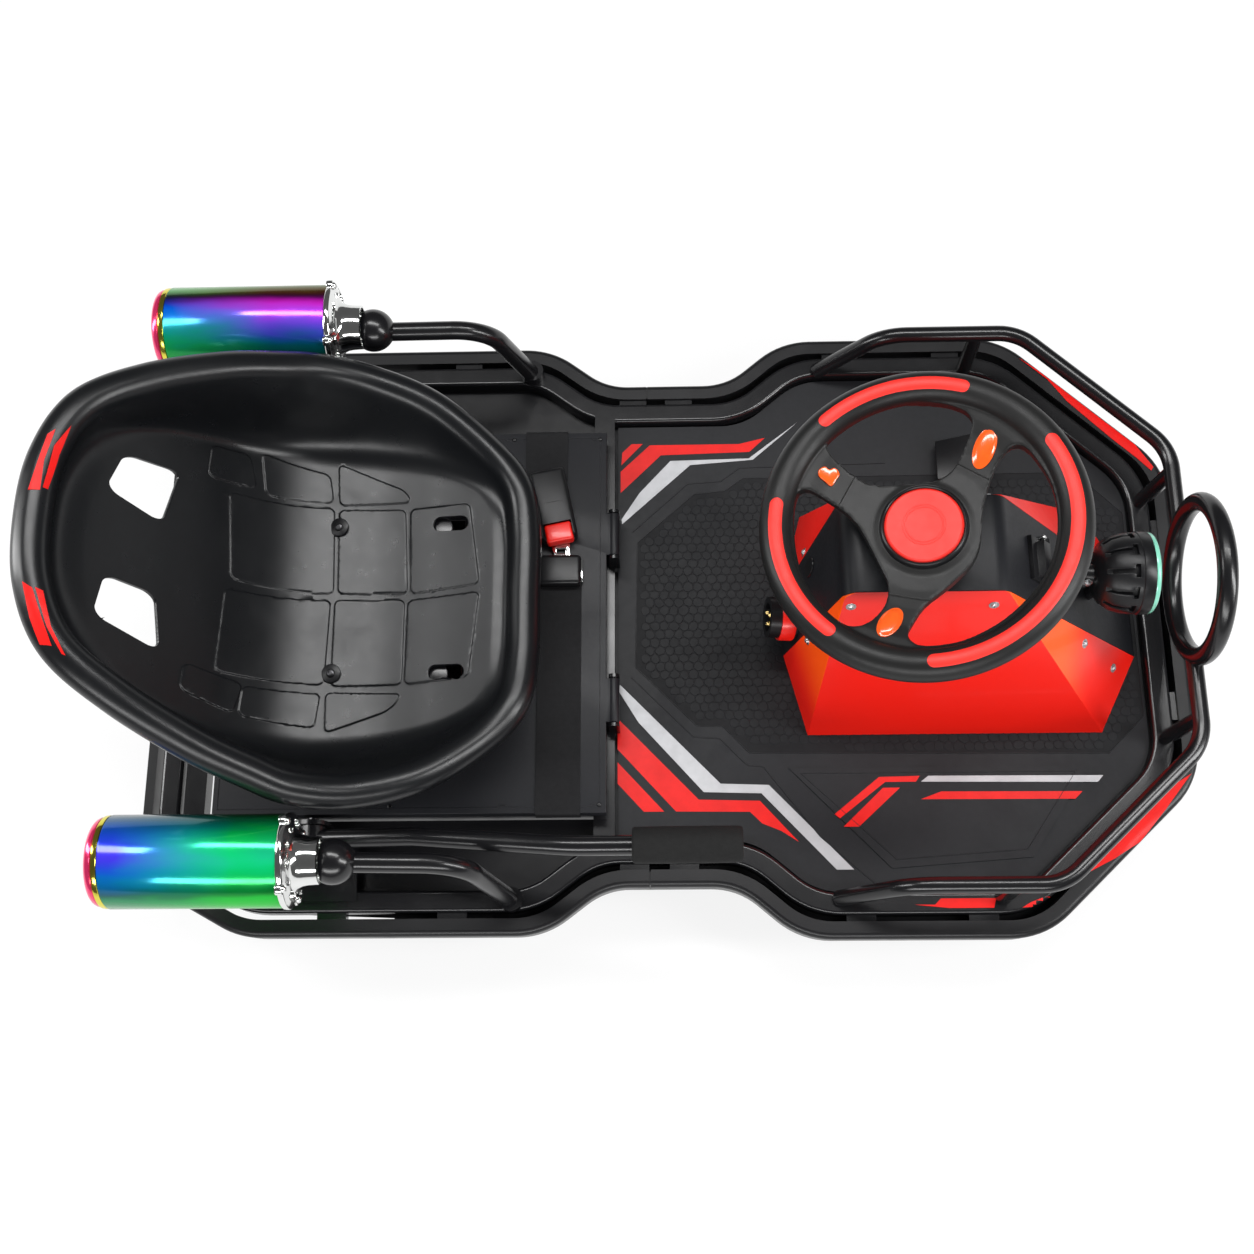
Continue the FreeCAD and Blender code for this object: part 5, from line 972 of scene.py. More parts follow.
def cutSeams(wheel):
    # lowers the spokes a little outside the hub's cover, with a fine groove between
    sizes = wheelSizes
    for width in sizes["seamRefine"]:
        centres = readSpots(wheel, "polygons", "center")
        level = readSpots(wheel, "polygons", "normal")[:, 2]
        splitFaces(wheel, (np.abs(fromSeams(centres)) < width) & (level > 0.2))
    spots = readSpots(wheel)
    normals = readSpots(wheel, "vertices", "normal")
    gap = fromSeams(spots)
    start, end = sizes["panelEnd"]
    fade = np.clip((end - np.hypot(spots[:, 0], spots[:, 1])) / (end - start), 0, 1)
    drop = np.clip(gap / sizes["seamSlope"] + 0.5, 0, 1) * fade * sizes["seamStep"]
    drop += np.clip(1 - np.abs(gap) / sizes["seamSlope"], 0, 1) * sizes["seamGroove"]
    spots[:, 2] -= drop * (normals[:, 2] > 0.2)
    writeSpots(wheel, spots)


def makeWheel():
    sizes = wheelSizes
    body = turned(sizes["section"], steps=96)
    cutWith(body, [flatShape(smoothOutline(window), sizes["windowLow"], sizes["windowDeep"])
                   for window in sizes["windows"]])
    deselectAll()
    bpy.ops.mesh.primitive_torus_add(major_radius=sizes["rimRadius"], minor_radius=sizes["tube"],
                                     major_segments=sizes["rimSteps"], minor_segments=sizes["tubeSteps"])
    wheel = joinPieces([bpy.context.object, body])
    wheel.data.remesh_voxel_size = sizes["voxel"]
    makeActive(wheel)
    bpy.ops.object.voxel_remesh()
    soft = wheel.modifiers.new("soft", "SMOOTH")
    soft.factor = 0.5
    soft.iterations = 5
    applyAll(wheel)
    cutSeams(wheel)
    return wheel


def insertStrip(start, end, radius, half):
    # a soft strip let into the top of the rim, its ends round
    sizes = wheelSizes
    strip = gridAdd(int((end - start) / sizes["insertStep"]), sizes["insertRows"])
    tube, rim = sizes["tube"], sizes["rimRadius"]
    length = math.radians(end - start) * radius
    shift = math.asin((radius - rim) / tube)
    for vertex in strip.data.vertices:
        along, side = math.sin(vertex.co.x * math.pi / 2), vertex.co.y
        fromEnd = min(1 - abs(along), half * 2 / length) * length / 2
        width = half * math.sqrt(max(1 - (1 - min(fromEnd / half, 1)) ** 2, 0.0004))
        angle = math.radians(start + (end - start) * (along + 1) / 2)
        tilt = shift + side * width / tube
        reach = tube + sizes["crown"] * (1 - side ** 4) - sizes["sunk"]
        ring = rim + reach * math.sin(tilt)
        vertex.co = (ring * math.cos(angle), ring * math.sin(angle), reach * math.cos(tilt))
    addWall(strip, sizes["insertThick"])
    openEdit(strip)
    evenNormals(merge=0.00001)
    closeEdit()
    flipUp(strip, sum(face.normal.z for face in strip.data.polygons) < 0)
    applyAll(strip)
    return strip


def levelAt(target, x, y, reach=0.003, above=0.2):
    # highest spot and mean normal of what lies round a place, seen from above
    found = [castDown(target, x + dx, y + dy, above) for dx in (-reach, 0, reach) for dy in (-reach, 0, reach)]
    found = [(spot.z, normal) for hit, spot, normal in found if hit]
    return max(height for height, _ in found), sum((normal for _, normal in found), Vector()).normalized()


def seatOn(rim, piece, x, y, direction):
    # stands a piece on the wheel's spoke
    level, normal = levelAt(rim, x, y)
    bakePlace(piece, layOn((x, y, level), normal, direction))
    return piece


def badgePiece(spot, half, width, direction, rim):
    # an oval lens with a stepped edge, standing a little out of the spoke
    lens = turned([(0, 0.0030), (0.35, 0.0028), (0.62, 0.0023), (0.84, 0.0013), (0.90, 0.0006), (1.0, 0.0004),
                   (1.0, -0.002), (0, -0.002)], steps=40)
    lens.scale = (half, width, 1)
    return seatOn(rim, lens, *spot, direction)


def heartPiece(rim):
    sizes = wheelSizes
    outline = np.array(smoothOutline(sizes["heart"], 4))
    middle = np.mean(outline, axis=0)
    heart = flatShape([(x - middle[0], y - middle[1]) for x, y in outline], -0.001, sizes["heartThick"])
    bevelWhere(heart, lambda a, b, turn: min(a.z, b.z) > 0, sizes["heartRound"], 3)
    return seatOn(rim, heart, *middle, 0)


def finishWheel():
    sizes = wheelSizes
    place = wheelPlace()
    wheel = makeWheel()
    extras = [(heartPiece(wheel), "spokeHeart", "badgeRed")]
    for count, badge in enumerate(sizes["badges"]):
        extras.append((badgePiece(*badge, wheel), "spokeBadge" + str(count), "badgeRed"))
    for count, insert in enumerate(sizes["inserts"]):
        extras.append((insertStrip(*insert), "rimInsert" + str(count), "softRed"))
    ring, top = sizes["capRing"], sizes["capTop"]
    collar = turned([(ring + out, top + up) for out, up in sizes["collar"]], steps=96)
    extras.append((collar, "capCollar", "blackPlastic"))
    rings = [turned([(radius + out, top + up) for out, up in sizes["fineRing"]], steps=80)
             for radius in sizes["emblem"]]
    extras.append((joinPieces(rings), "capRings", "softRed"))
    finishPiece(wheel, "steeringWheel", "steering", "wheelSkin", smooth=50, place=place, node="steering_wheel")
    for piece, name, finish in extras:
        finishPiece(piece, name, "steering", finish, smooth=40, place=place)


finishWheel()
print("steering wheel made")


# ---- mufflers ----

mufflerSizes = metres({
    "set": -14,   # the right one stands this far behind the left
    "can": [(44.8, -556), (49.4, -555.6), (50, -554.5), (50, -370.5), (49.4, -369.2), (44.8, -369)],
    "gold": [(44, -556.2), (44, -562.5), (47.8, -562.8), (49.2, -561.8), (49.6, -560), (49.4, -556.8),
             (48.8, -556.2)],
    "cap": [(46.2, -561.8), (47.8, -564), (47.6, -566.2), (46.2, -569), (43.6, -571.2), (40, -572.5), (33, -573.2),
            (24, -573.2), (21.6, -572.2), (21, -570), (21, -556), (22.2, -556), (22.2, -569), (24, -571.2),
            (33, -571), (39, -570), (42, -568.2), (44, -565.5), (44, -561.8)],
    "inside": [(20.5, -569), (20.9, -569), (20.9, -440), (0, -440), (0, -441), (19.9, -441)],
    "plate": [(44.5, -369.2), (50.8, -369), (51.6, -368), (51.6, -364), (50.8, -362.8), (47, -362.2), (44, -360),
              (34, -358.8), (30, -356), (27.2, -350), (26.2, -344), (25.5, -332.5), (23, -332.5), (23, -360),
              (30, -364)],
    "pocket": (10, 26), "pocketRound": 4.8, "pocketEnds": (-366, -354), "pocketAt": (38.5, 0, 0), "plateRound": 0.5,
    "lug": [(0, -5.5), (6.2, -5.5), (6.6, -4.5), (6.6, 0.8), (6, 1.6), (0, 1.6)], "lugAt": (50.5, 0, -364),
    "lugBolt": (4.2, 3.6), "lugBoltAt": (50.5, 0, -362.4), "rivet": (3.4, 3), "rivetAt": (39.8, 0, -359.4),
})


def washerUnder(radius, height, reach, edge):
    return turned([(0, 0), (radius * reach, 0), (radius * edge[0], height * edge[1]), (radius * reach, height),
                   (0, height)], steps=24)


def hexHead(radius, height, washer=0.0):
    # a small hexagon bolt with a rounded top, standing on the origin
    deselectAll()
    bpy.ops.mesh.primitive_cylinder_add(vertices=6, radius=radius, depth=height, location=(0, 0, height / 2 + washer))
    head = bpy.context.object
    bakePlace(head)
    bevelWhere(head, lambda a, b, turn: min(a.z, b.z) > height * 0.6 + washer, radius * 0.16, 2)
    return joinPieces([head, washerUnder(radius, washer, 1.55, (1.62, 0.3))]) if washer else head


def roundHead(radius, height, washer=0.0):
    # a domed screw head with a hexagon socket, standing on the origin
    head = turned([(0, 0), (radius, 0), (radius, height * 0.3), (radius * 0.86, height * 0.75), (radius * 0.6, height),
                   (0, height)], steps=20)
    openEdit(head)
    pickFaces(head, lambda spot, normal: normal.z > 0.99 and spot.z > height * 0.9)
    bpy.ops.mesh.inset(thickness=radius * 0.12, use_boundary=True)
    extrudeUp(-height * 0.4)
    closeEdit()
    if not washer:
        return head
    disc = washerUnder(radius, washer, 1.6, (1.66, 0.4))
    bakePlace(head, Matrix.Translation((0, 0, washer)))
    return joinPieces([head, disc])


def makeMuffler(side, label):
    sizes = mufflerSizes
    low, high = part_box("muffler_left")
    spot = (0 if side > 0 else sizes["set"], (low[1] + high[1]) / 2 * side, (low[2] + high[2]) / 2)
    place = Matrix.Translation(spot) @ Matrix.Rotation(math.pi / 2, 4, "Y")
    can, gold, cap, inside, plate = [turned(sizes[key], steps=96) for key in ("can", "gold", "cap", "inside", "plate")]
    cutters = []
    for turn in range(4):
        cutters.append(roundedCutter(sizes["pocket"], sizes["pocketRound"], *sizes["pocketEnds"]))
        bakePlace(cutters[-1], spinZ(90 * turn) @ Matrix.Translation(sizes["pocketAt"]))
    cutWith(plate, cutters)
    bevelSharp(plate, sizes["plateRound"], 2, 45)
    parts = [plate]
    for turn in range(4):
        for part, at in ((turned(sizes["lug"], steps=24), "lugAt"), (roundHead(*sizes["lugBolt"]), "lugBoltAt"),
                         (hexHead(*sizes["rivet"]), "rivetAt")):
            bakePlace(part, spinZ(45 + 90 * turn) @ Matrix.Translation(sizes[at]))
            parts.append(part)
    for piece, name, finish in ((can, "mufflerCan", "rainbowChrome"), (gold, "mufflerRing", "goldChrome"),
                                (cap, "mufflerCap", "pinkChrome"), (inside, "mufflerPipe", "sootBlack"),
                                (joinPieces(parts), "mufflerFront", "chromeSteel")):
        finishPiece(piece, name + label, "chassis", finish, smooth=40, place=place,
                    node="muffler_" + label.lower() if piece is can else None)


makeMuffler(1, "Left")
makeMuffler(-1, "Right")
print("mufflers made")


# ---- foot mat ----

matSizes = metres({
    "top": 108, "pitch": 11.8, "shift": 1.1, "groove": 0.35, "corner": 1.6, "high": 0.5, "chamfer": 0.4, "slope": 0.2,
    "field": [(-12, 109), (59, 173), (98, 177), (121, 194), (535, 196), (590, 140), (590, -120), (545, -165),
              (120, -161), (89, -128), (58, -127), (-15, -53)],
    "stickerEdge": [
        [(-18, 123), (51, 187), (93, 190), (117, 208), (300, 212)],
        [(-20, -66), (54, -141), (85, -143), (117, -176), (136, -178), (200, -262), (262, -318)],
    ],
    "footEdge": [(180, -187), (503, -187), (440, -279), (288, -290)],
    # middle and radius of the bare patch round the wheel
    "wheelHole": (310, 0, 116), "ground": 0.1, "line": 0.8, "footLine": 0.7, "sunk": 0.1,
    "film": 0.3, "flashLift": 0.5, "flashFall": 6, "roof": 30,
    "stickers": {
        "Red": [
            [(-19, 243), (-5, 243), (-32, 214), (-31, 231)],
            [(4, 241), (117, 241), (150, 249), (130, 230), (18, 227), (-33, 176), (-33, 205)],
            [(-37, -117), (59, -217), (131, -219), (175, -268), (155, -255), (133, -246), (119, -232), (32, -231),
             (-37, -155)],
            [(-37, -171), (18, -231), (-6, -231), (-37, -197)],
        ],
        "Silver": [
            [(30, 219), (129, 221), (192, 270), (134, 219), (55, 213), (-31, 134), (-32, 140), (-9, 176)],
            [(-35, -74), (85, -198), (142, -200), (238, -301), (218, -301), (133, -210), (65, -208), (-12, -122),
             (-35, -84)],
        ],
        "RedRaised": [
            [(218, -236), (272, -192), (320, -191), (315, -198), (279, -198), (224, -241)],
            [(228, -251), (276, -205), (296, -205), (246, -251)],
            [(344, -210), (509, -211), (500, -220), (320, -219)],
        ],
        "SilverRaised": [
            [(330, -191), (535, -192), (528, -200), (321, -198)],
        ],
    },
    "flashes": {
        "front_bumper": [
            [(477, 350), (496, 335.5), (537, 297), (574, 262), (611, 228), (631, 197), (628, 192), (611, 210),
             (583, 236.5), (560, 260), (532, 289), (510, 320)],
            [(635, -193), (612, -207), (573, -244), (537, -279), (505, -308), (537, -292), (568, -272),
             (600, -236)],
        ],
        "main_frame": [
            [(304, -344), (327, -344), (334, -337), (397, -337), (394, -348), (343, -348)],
            [(426, -348), (436, -342), (452, -336), (462, -335), (449, -345)],
        ],
    },
})


def inOutline(spots, outline):
    # which of the spots lie inside a closed outline of any shape
    inside = np.zeros(len(spots), bool)
    x, y = spots[:, 0], spots[:, 1]
    for (ax, ay), (bx, by) in zip(outline, outline[1:] + outline[:1]):
        if ay != by:
            inside ^= ((ay > y) != (by > y)) & (x < (bx - ax) * (y - ay) / (by - ay) + ax)
    return inside


def hexagonSheet(pitch, low, high, top):
    # touching hexagons over a rectangle
    row = pitch * math.sqrt(3) / 2
    deselectAll()
    bpy.ops.mesh.primitive_circle_add(vertices=6, radius=pitch / math.sqrt(3), fill_type="NGON", location=(*low, top))
    first = bpy.context.object
    bakePlace(first)
    second = addObject("row", first.data.copy())
    bakePlace(second, Matrix.Translation((pitch / 2, row, 0)))
    sheet = joinPieces([first, second])
    for offset, reach in (((pitch, 0, 0), high[0] - low[0]), ((0, 2 * row, 0), high[1] - low[1])):
        rows = sheet.modifiers.new("rows", "ARRAY")
        rows.use_relative_offset = False
        rows.use_constant_offset = True
        rows.constant_offset_displace = offset
        rows.count = int(reach / sum(offset)) + 1
    applyAll(sheet)
    openEdit(sheet)
    selectAll()
    bpy.ops.mesh.remove_doubles(threshold=0.0003)
    closeEdit()
    return sheet


def openGround(centres):
    # which places on the mat are inside the field and clear of its edges, the console and the wheel
    sizes = matSizes
    pitch, top = sizes["pitch"], sizes["top"]
    kept = np.ones(len(centres), bool)
    for turn in range(8):
        way = np.array([math.cos(math.pi * turn / 4), math.sin(math.pi * turn / 4)]) * pitch
        kept &= inOutline(centres + way * 0.62, sizes["field"])
        kept &= [castDown(nodes["floor_mat"], x, y, top + 0.01, 0.0101)[0] for x, y in centres + way * 0.6]
    roof = sizes["roof"]
    for name in ("console_fairing_left", "console_fairing_right", "console_hood", "accelerator_pedal"):
        kept &= [not castDown(nodes[name], x, y, top + roof, roof)[0] for x, y in centres]
    x, y, radius = sizes["wheelHole"]
    return kept & (np.hypot(centres[:, 0] - x, centres[:, 1] - y) > radius + pitch)


def makePads():
    # a sheet of hexagons, shifted a little at random, then each one shrunk, raised and chamfered
    sizes = matSizes
    field = np.array(sizes["field"])
    pads = hexagonSheet(sizes["pitch"], field.min(axis=0), field.max(axis=0), sizes["top"])
    chance = random.Random(7)
    spots = readSpots(pads)
    for spot in spots:
        spot[:2] += (chance.uniform(-1, 1) * sizes["shift"], chance.uniform(-1, 1) * sizes["shift"])
    writeSpots(pads, spots)
    deleteFaces(pads, ~openGround(readSpots(pads, "polygons", "center")[:, :2]))
    openEdit(pads)
    bpy.ops.mesh.select_mode(type="FACE")
    selectAll()
    bpy.ops.mesh.inset(thickness=sizes["groove"], use_individual=True)
    bpy.ops.mesh.select_all(action="INVERT")
    bpy.ops.mesh.delete(type="FACE")
    selectAll()
    bpy.ops.mesh.bevel(offset=sizes["corner"], segments=1, affect="VERTICES")
    selectAll()
    extrudeUp(sizes["high"] - sizes["slope"])
    bpy.ops.mesh.inset(thickness=sizes["chamfer"], depth=sizes["slope"], use_individual=True)
    closeEdit()
    return pads


def finishMat():
    sizes = matSizes
    top, raised = sizes["top"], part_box("floor_mat")[1][2]
    pads = makePads()
    print("mat pads,", len(pads.data.polygons), "faces")
    finishPiece(pads, "matPads", "chassis", "matPadRubber", smooth=20)
    # a thin plate under the pads in a darker rubber, so the grooves between them show painted shade
    ground = flatShape(sizes["field"], top, sizes["ground"])
    x, y, radius = sizes["wheelHole"]
    hole = turned([(0, top - 0.01), (radius, top - 0.01), (radius, top + 0.01), (0, top + 0.01)], steps=64)
    bakePlace(hole, Matrix.Translation((x, y, 0)))
    cutWith(ground, [hole])
    finishPiece(ground, "matGrooves", "chassis", "matGroove", smooth=0)
    lines = []
    for edge, level, radius, closed in (
            (sizes["field"], top, sizes["line"], True),
            *[(edge, top, sizes["line"], False) for edge in sizes["stickerEdge"]],
            (sizes["footEdge"], raised, sizes["footLine"], True)):
        lines.append(lineTube([(x, y, level - sizes["sunk"]) for x, y in edge], radius, closed))
    finishPiece(joinPieces(lines), "matRidges", "chassis", "matRubber", smooth=60)
    for key, shapes in sizes["stickers"].items():
        level = raised if key.endswith("Raised") else top
        for count, outline in enumerate(shapes):
            finishPiece(flatShape(outline, level, sizes["film"]), "sticker" + key + str(count), "chassis",
                        "redFilm" if key.startswith("Red") else "silverFilm", smooth=0)
    flashes = [(target, outline) for target, shapes in sizes["flashes"].items() for outline in shapes]
    for count, (target, outline) in enumerate(flashes):
        flash = drapeShape(outline, nodes[target], sizes["film"], lift=sizes["flashLift"], fall=sizes["flashFall"])
        finishPiece(flash, "bumperFlash" + str(count), "chassis", "redFilm")


finishMat()
print("mat and stickers made")


# ---- tubes, panels and mouldings with rounded edges ----

refined = {
    # node: new name, body, finish, bevel width in millimetres, smoothing angle, slot if not the finish's own
    "guard_rail": ("guardRail", "chassis", "powderBlack", 0, 50),
    "exhaust_pipe_left": ("exhaustPipeLeft", "chassis", "powderBlack", 0, 50),
    "exhaust_pipe_right": ("exhaustPipeRight", "chassis", "powderBlack", 0, 50),
    "drift_lever": ("driftLever", "lever", "powderBlack", 0, 50),
    "console_hood": ("consoleHood", "chassis", "sheetBlack", 0.9, 30),
    "console_fairing_left": ("fairingLeft", "chassis", "fairingRed", 0.9, 20),
    "console_fairing_right": ("fairingRight", "chassis", "fairingRed", 0.9, 20),
    "seat_lid": ("seatLid", "seat_and_lid", "sheetBlack", 1.2, 30),
    "seat_riser": ("seatRiser", "seat_and_lid", "powderBlack", 1.2, 30),
    "accelerator_pedal": ("pedal", "chassis", "blackPlastic", 1.5, 30, "black_steel"),
    "hood_latch": ("hoodLatch", "chassis", "blackPlastic", 0.8, 30),
    "steering_hub_cap": ("hubCap", "steering", "softRed", 0, 50),
}


def refineNodes():
    for node, (name, body, finish, width, smooth, *slot) in refined.items():
        piece = addObject(name, nodes[node].data.copy())
        if width:
            openEdit(piece)
            selectAll()
            bpy.ops.mesh.remove_doubles(threshold=0.00002)
            bpy.ops.mesh.dissolve_limited(angle_limit=math.radians(2))
            closeEdit()
            bevelSharp(piece, metres(width), 3, 30)
        finishPiece(piece, name, body, finish, smooth=smooth, node=node)


refineNodes()
print("tubes and panels made")


# ---- frame seal and moulding joints ----

sealSizes = metres({
    "under": 95, "drop": 6, "flare": 11, "rearX": -300, "side": 250, "nose": 560, "corner": 700,
    "joint": [(-3, 303, 79), (5, 318.5, 116.5)],
})


def finishSeal():
    # rubber strip hanging from the frame's tubes to the mouldings' lips
    sizes = sealSizes
    seal = addObject("frameSeal", nodes["main_frame"].data.copy())
    x, y, z = readSpots(seal, "polygons", "center").T
    y = np.abs(y)
    outer = (y > sizes["side"]) | (x > sizes["nose"]) | (x + y > sizes["corner"])
    level = (readSpots(seal, "polygons", "normal")[:, 2] < -0.9) & (np.abs(z - sizes["under"]) < 0.001)
    deleteFaces(seal, ~(level & (x > sizes["rearX"]) & outer))
    openEdit(seal)
    selectAll()
    bpy.ops.mesh.remove_doubles(threshold=0.0001)
    extrudeUp(-sizes["drop"])
    evenNormals()
    closeEdit()
    spots = readSpots(seal)
    turns = readSpots(seal, "vertices", "normal")
    low = spots[:, 2] < sizes["under"] - sizes["drop"] / 2
    sideways = turns[:, :2] / np.maximum(np.hypot(turns[:, 0], turns[:, 1]), 0.2)[:, None]
    spots[low, :2] += sideways[low] * sizes["flare"]
    writeSpots(seal, spots)
    (x0, near, z0), (x1, far, z1) = sizes["joint"]
    joints = [boxAt((x0, near, z0), (x1, far, z1)), boxAt((x0, -far, z0), (x1, -near, z1))]
    finishPiece(joinPieces([seal] + joints), "frameSeal", "chassis", "bumperRubber", smooth=30)


finishSeal()


# ---- headlamp ----

lampSizes = {
    "slots": 11,
    **metres({
        "z": 276,
        "dome": [(0, 498.5), (17, 498.8), (27, 501.5), (35, 507), (41, 516), (44.5, 528), (45.5, 539.5),
                 (45.5, 544.5), (46.4, 545.5), (46.4, 556.5), (45.6, 558), (42.5, 558), (42, 552), (0, 552)],
        "slot": [(34, -2.6, 504.5), (52, 2.6, 535)],
        "notch": [(38.5, -7.2, 535), (52, 7.2, 540)], "domeRound": 0.7,
        "core": [(0, 500), (20, 500.5), (31, 507), (37.5, 519), (40, 535), (40, 544), (0, 544)],
        "glass": [(0, 567.2), (16, 566.8), (29, 565.5), (37.5, 563.2), (40.5, 561), (40.8, 556), (0, 556)],
        "ring": [(39.8, 562.2), (41.2, 563.2), (43.6, 563), (45, 561.8), (45.6, 560), (45.2, 557.8), (39.8, 557.8)],
        "post": [(502, 0, 189), (528, 0, 256)], "postR": 7.8,
        "knob": [(0, 486), (6, 486.5), (9.5, 489), (11, 493), (11, 503), (0, 503)],
        "bolt": (3.6, 2.8, 0.8), "boltAt": (492.5, -10.4, 277.5),
    }),
}


def finishLamp():
    sizes = lampSizes
    place = Matrix.Translation((0, 0, sizes["z"])) @ Matrix.Rotation(math.pi / 2, 4, "Y")
    dome = turned(sizes["dome"], steps=110)
    for key in ("slot", "notch"):
        cutters = []
        for turn in range(sizes["slots"]):
            cutters.append(boxAt(*sizes[key]))
            bakePlace(cutters[-1], Matrix.Rotation(2 * math.pi * turn / sizes["slots"], 4, "Z"))
        cutWith(dome, [joinPieces(cutters)])
    bevelSharp(dome, sizes["domeRound"], 2, 50)
    lamp = joinPieces([dome, turned(sizes["core"], steps=48), turned(sizes["knob"], steps=32)])
    bakePlace(lamp, place)
    post = lineTube(sizes["post"], sizes["postR"], sides=20)
    finishPiece(joinPieces([lamp, post]), "headlamp", "chassis", "blackPlastic", node="headlamp_housing")
    glass, ring = turned(sizes["glass"], steps=64), turned(sizes["ring"], steps=64)
    finishPiece(glass, "headlampGlass", "chassis", "lensGlass", place=place, node="headlamp_lens")
    finishPiece(ring, "headlampRing", "chassis", "mintRing", place=place)
    aside = turnTo((0, -1, 0.2), sizes["boltAt"])
    finishPiece(hexHead(*sizes["bolt"]), "headlampBolt", "chassis", "zincSteel", place=aside)


finishLamp()
print("headlamp made")


# ---- seat belt ----

beltSizes = {
    "swing": 11.6,   # degrees
    "rippleWave": 31, "curlWave": 17,   # turns of the wave along the strap, in radians a metre
    **metres({
        "foot": 150.3, "pivot": (-104, 92, 0),
        "case": [(-126, 92.2, 150.3), (-82, 184, 174.3)], "caseRound": 5.6,
        "recess": [(-121, 80, 156.3), (-87, 112.2, 190)],
        "slit": [(-115.5, 80, 152.5), (-92.5, 100, 156.5)],
        # length and width, then height of its ends and its place along the case
        "mark": (19, 4.2), "markEnds": (173.8, 180), "markAt": (-104, 137, 0),
        "button": [(-120.5, 88, 156.3), (-87.5, 111.7, 173.2)], "buttonRound": 3.4,
        "blade": [(-115, 66, 153.2), (-93, 106, 155.7)], "bladeRound": 0.5,
        "window": [(-109.5, 77.5, 150), (-98.5, 83.5, 160)],
        "housing": [(-131, 35, 150.3), (-79, 73, 167.1)], "housingRound": 5,
        "sides": [(-133, 40, 151.5), (-77, 69, 158)], "sidesRound": 1.2,
        "web": 52, "thick": 1.3, "edgeY": 241.3, "dropZ": 134.5, "bend": 3.5,
        "step": 4, "ripple": 0.3, "rippleEnd": 50, "curl": 0.4,
        # where each strap starts: along the kart and out from the middle
        "right": (-105, 42), "left": (-123, 176),
    }),
}


def makeStrap(x, startY, side):
    # webbing from its inner end over the lid's edge, along +Y or -Y
    sizes = beltSizes
    z = sizes["foot"] + sizes["thick"] / 2
    edge = sizes["edgeY"] + sizes["thick"] / 2
    bend, first = sizes["bend"], startY * side
    run = edge - bend - first
    steps = int(run / sizes["step"])
    path = [(first + run * step / steps, z) for step in range(steps + 1)]
    for turn in range(1, 9):
        angle = math.pi / 2 * turn / 8
        path.append((edge - bend + bend * math.sin(angle), z - bend + bend * math.cos(angle)))
    for step in range(1, 5):
        path.append((edge, z - bend - (z - bend - sizes["dropZ"]) * step / 4))
    strap = gridAdd(len(path) - 1, 10)
    for vertex in strap.data.vertices:
        y, height = path[round((vertex.co.x + 1) / 2 * (len(path) - 1))]
        across = vertex.co.y
        fade = min(max((edge - y) / sizes["rippleEnd"], 0), 1)
        ripple = sizes["ripple"] * (math.sin(y * sizes["rippleWave"] + across) * fade + 1)
        curl = sizes["curl"] * abs(across) ** 3 * (0.5 + 0.5 * math.sin(y * sizes["curlWave"]))
        vertex.co = (x + across * sizes["web"] / 2, y * side, height + ripple + curl)
    length = sum(math.dist(a, b) for a, b in zip(path, path[1:]))
    addWall(strap, sizes["thick"], offset=0)
    openEdit(strap)
    evenNormals()
    closeEdit()
    flipUp(strap, topNormal(strap, (x, startY + sizes["rippleEnd"] * side, z)) < 0)
    applyAll(strap)
    return strap, length


def finishBelt():
    sizes = beltSizes
    pivot = Matrix.Translation(sizes["pivot"])
    swing = pivot @ spinZ(sizes["swing"]) @ pivot.inverted()
    case = roundedBox(*sizes["case"], sizes["caseRound"], 5)
    mark = roundedCutter(sizes["mark"], sizes["mark"][1] * 0.45, *sizes["markEnds"])
    bakePlace(mark, Matrix.Translation(sizes["markAt"]))
    cutWith(case, [boxAt(*sizes["recess"]), boxAt(*sizes["slit"]), mark])
    finishPiece(case, "buckleCase", "seat_and_lid", "blackPlastic", smooth=40, place=swing, node="belt_buckle")
    button = roundedBox(*sizes["button"], sizes["buttonRound"], 4)
    finishPiece(button, "buckleButton", "seat_and_lid", "redPlastic", smooth=40, place=swing, node="buckle_button")
    blade = boxAt(*sizes["blade"])
    cutWith(blade, [boxAt(*sizes["window"])])
    bevelSharp(blade, sizes["bladeRound"])
    tongue = joinPieces([blade, roundedBox(*sizes["sides"], sizes["sidesRound"])])
    finishPiece(tongue, "tongueBlade", "seat_and_lid", "chromeSteel", smooth=40, node="belt_tongue")
    housing = roundedBox(*sizes["housing"], sizes["housingRound"], 5)
    finishPiece(housing, "tongueHousing", "seat_and_lid", "blackPlastic", smooth=40)
    for key, side in (("right", -1), ("left", 1)):
        strap, length = makeStrap(*sizes[key], side)
        finishPiece(strap, "strap" + key.capitalize(), "seat_and_lid", "webbingBlack", smooth=50,
                    node="belt_strap_" + key)
        print("strap", key, round(length, 4))


finishBelt()
print("belt made")


# ---- lever grip ----

gripSizes = metres({
    "rear": (-16, -296, 247.5), "front": (104, -296, 250),
    "profile": [(11.1, 0), (17.2, 0), (19, 0.8), (19.9, 3), (20.2, 30), (20.3, 60), (20.2, 90), (19.9, 116.5),
                (19, 119), (16.5, 120), (0, 120), (0, 118.5), (11.1, 117)],
})


def finishGrip():
    rear, front = Vector(gripSizes["rear"]), Vector(gripSizes["front"])
    grip = turned(gripSizes["profile"], steps=56)
    finishPiece(grip, "leverGrip", "lever", "foamBlack", smooth=50, place=turnTo(front - rear, rear), node="lever_grip")


finishGrip()


# ---- lid lines ----

lidSizes = metres({
    "rear": -502, "front": -56.5, "half": 233, "top": 150, "radius": 0.5,
    "notches": [(-175, 233), (-120, 233), (-68, 233), (-175, -233), (-68, -233)],
    # how far in a notch reaches, then how far along its corners lie
    "notchDeep": 3, "notchRun": (3, 9, 12),
})


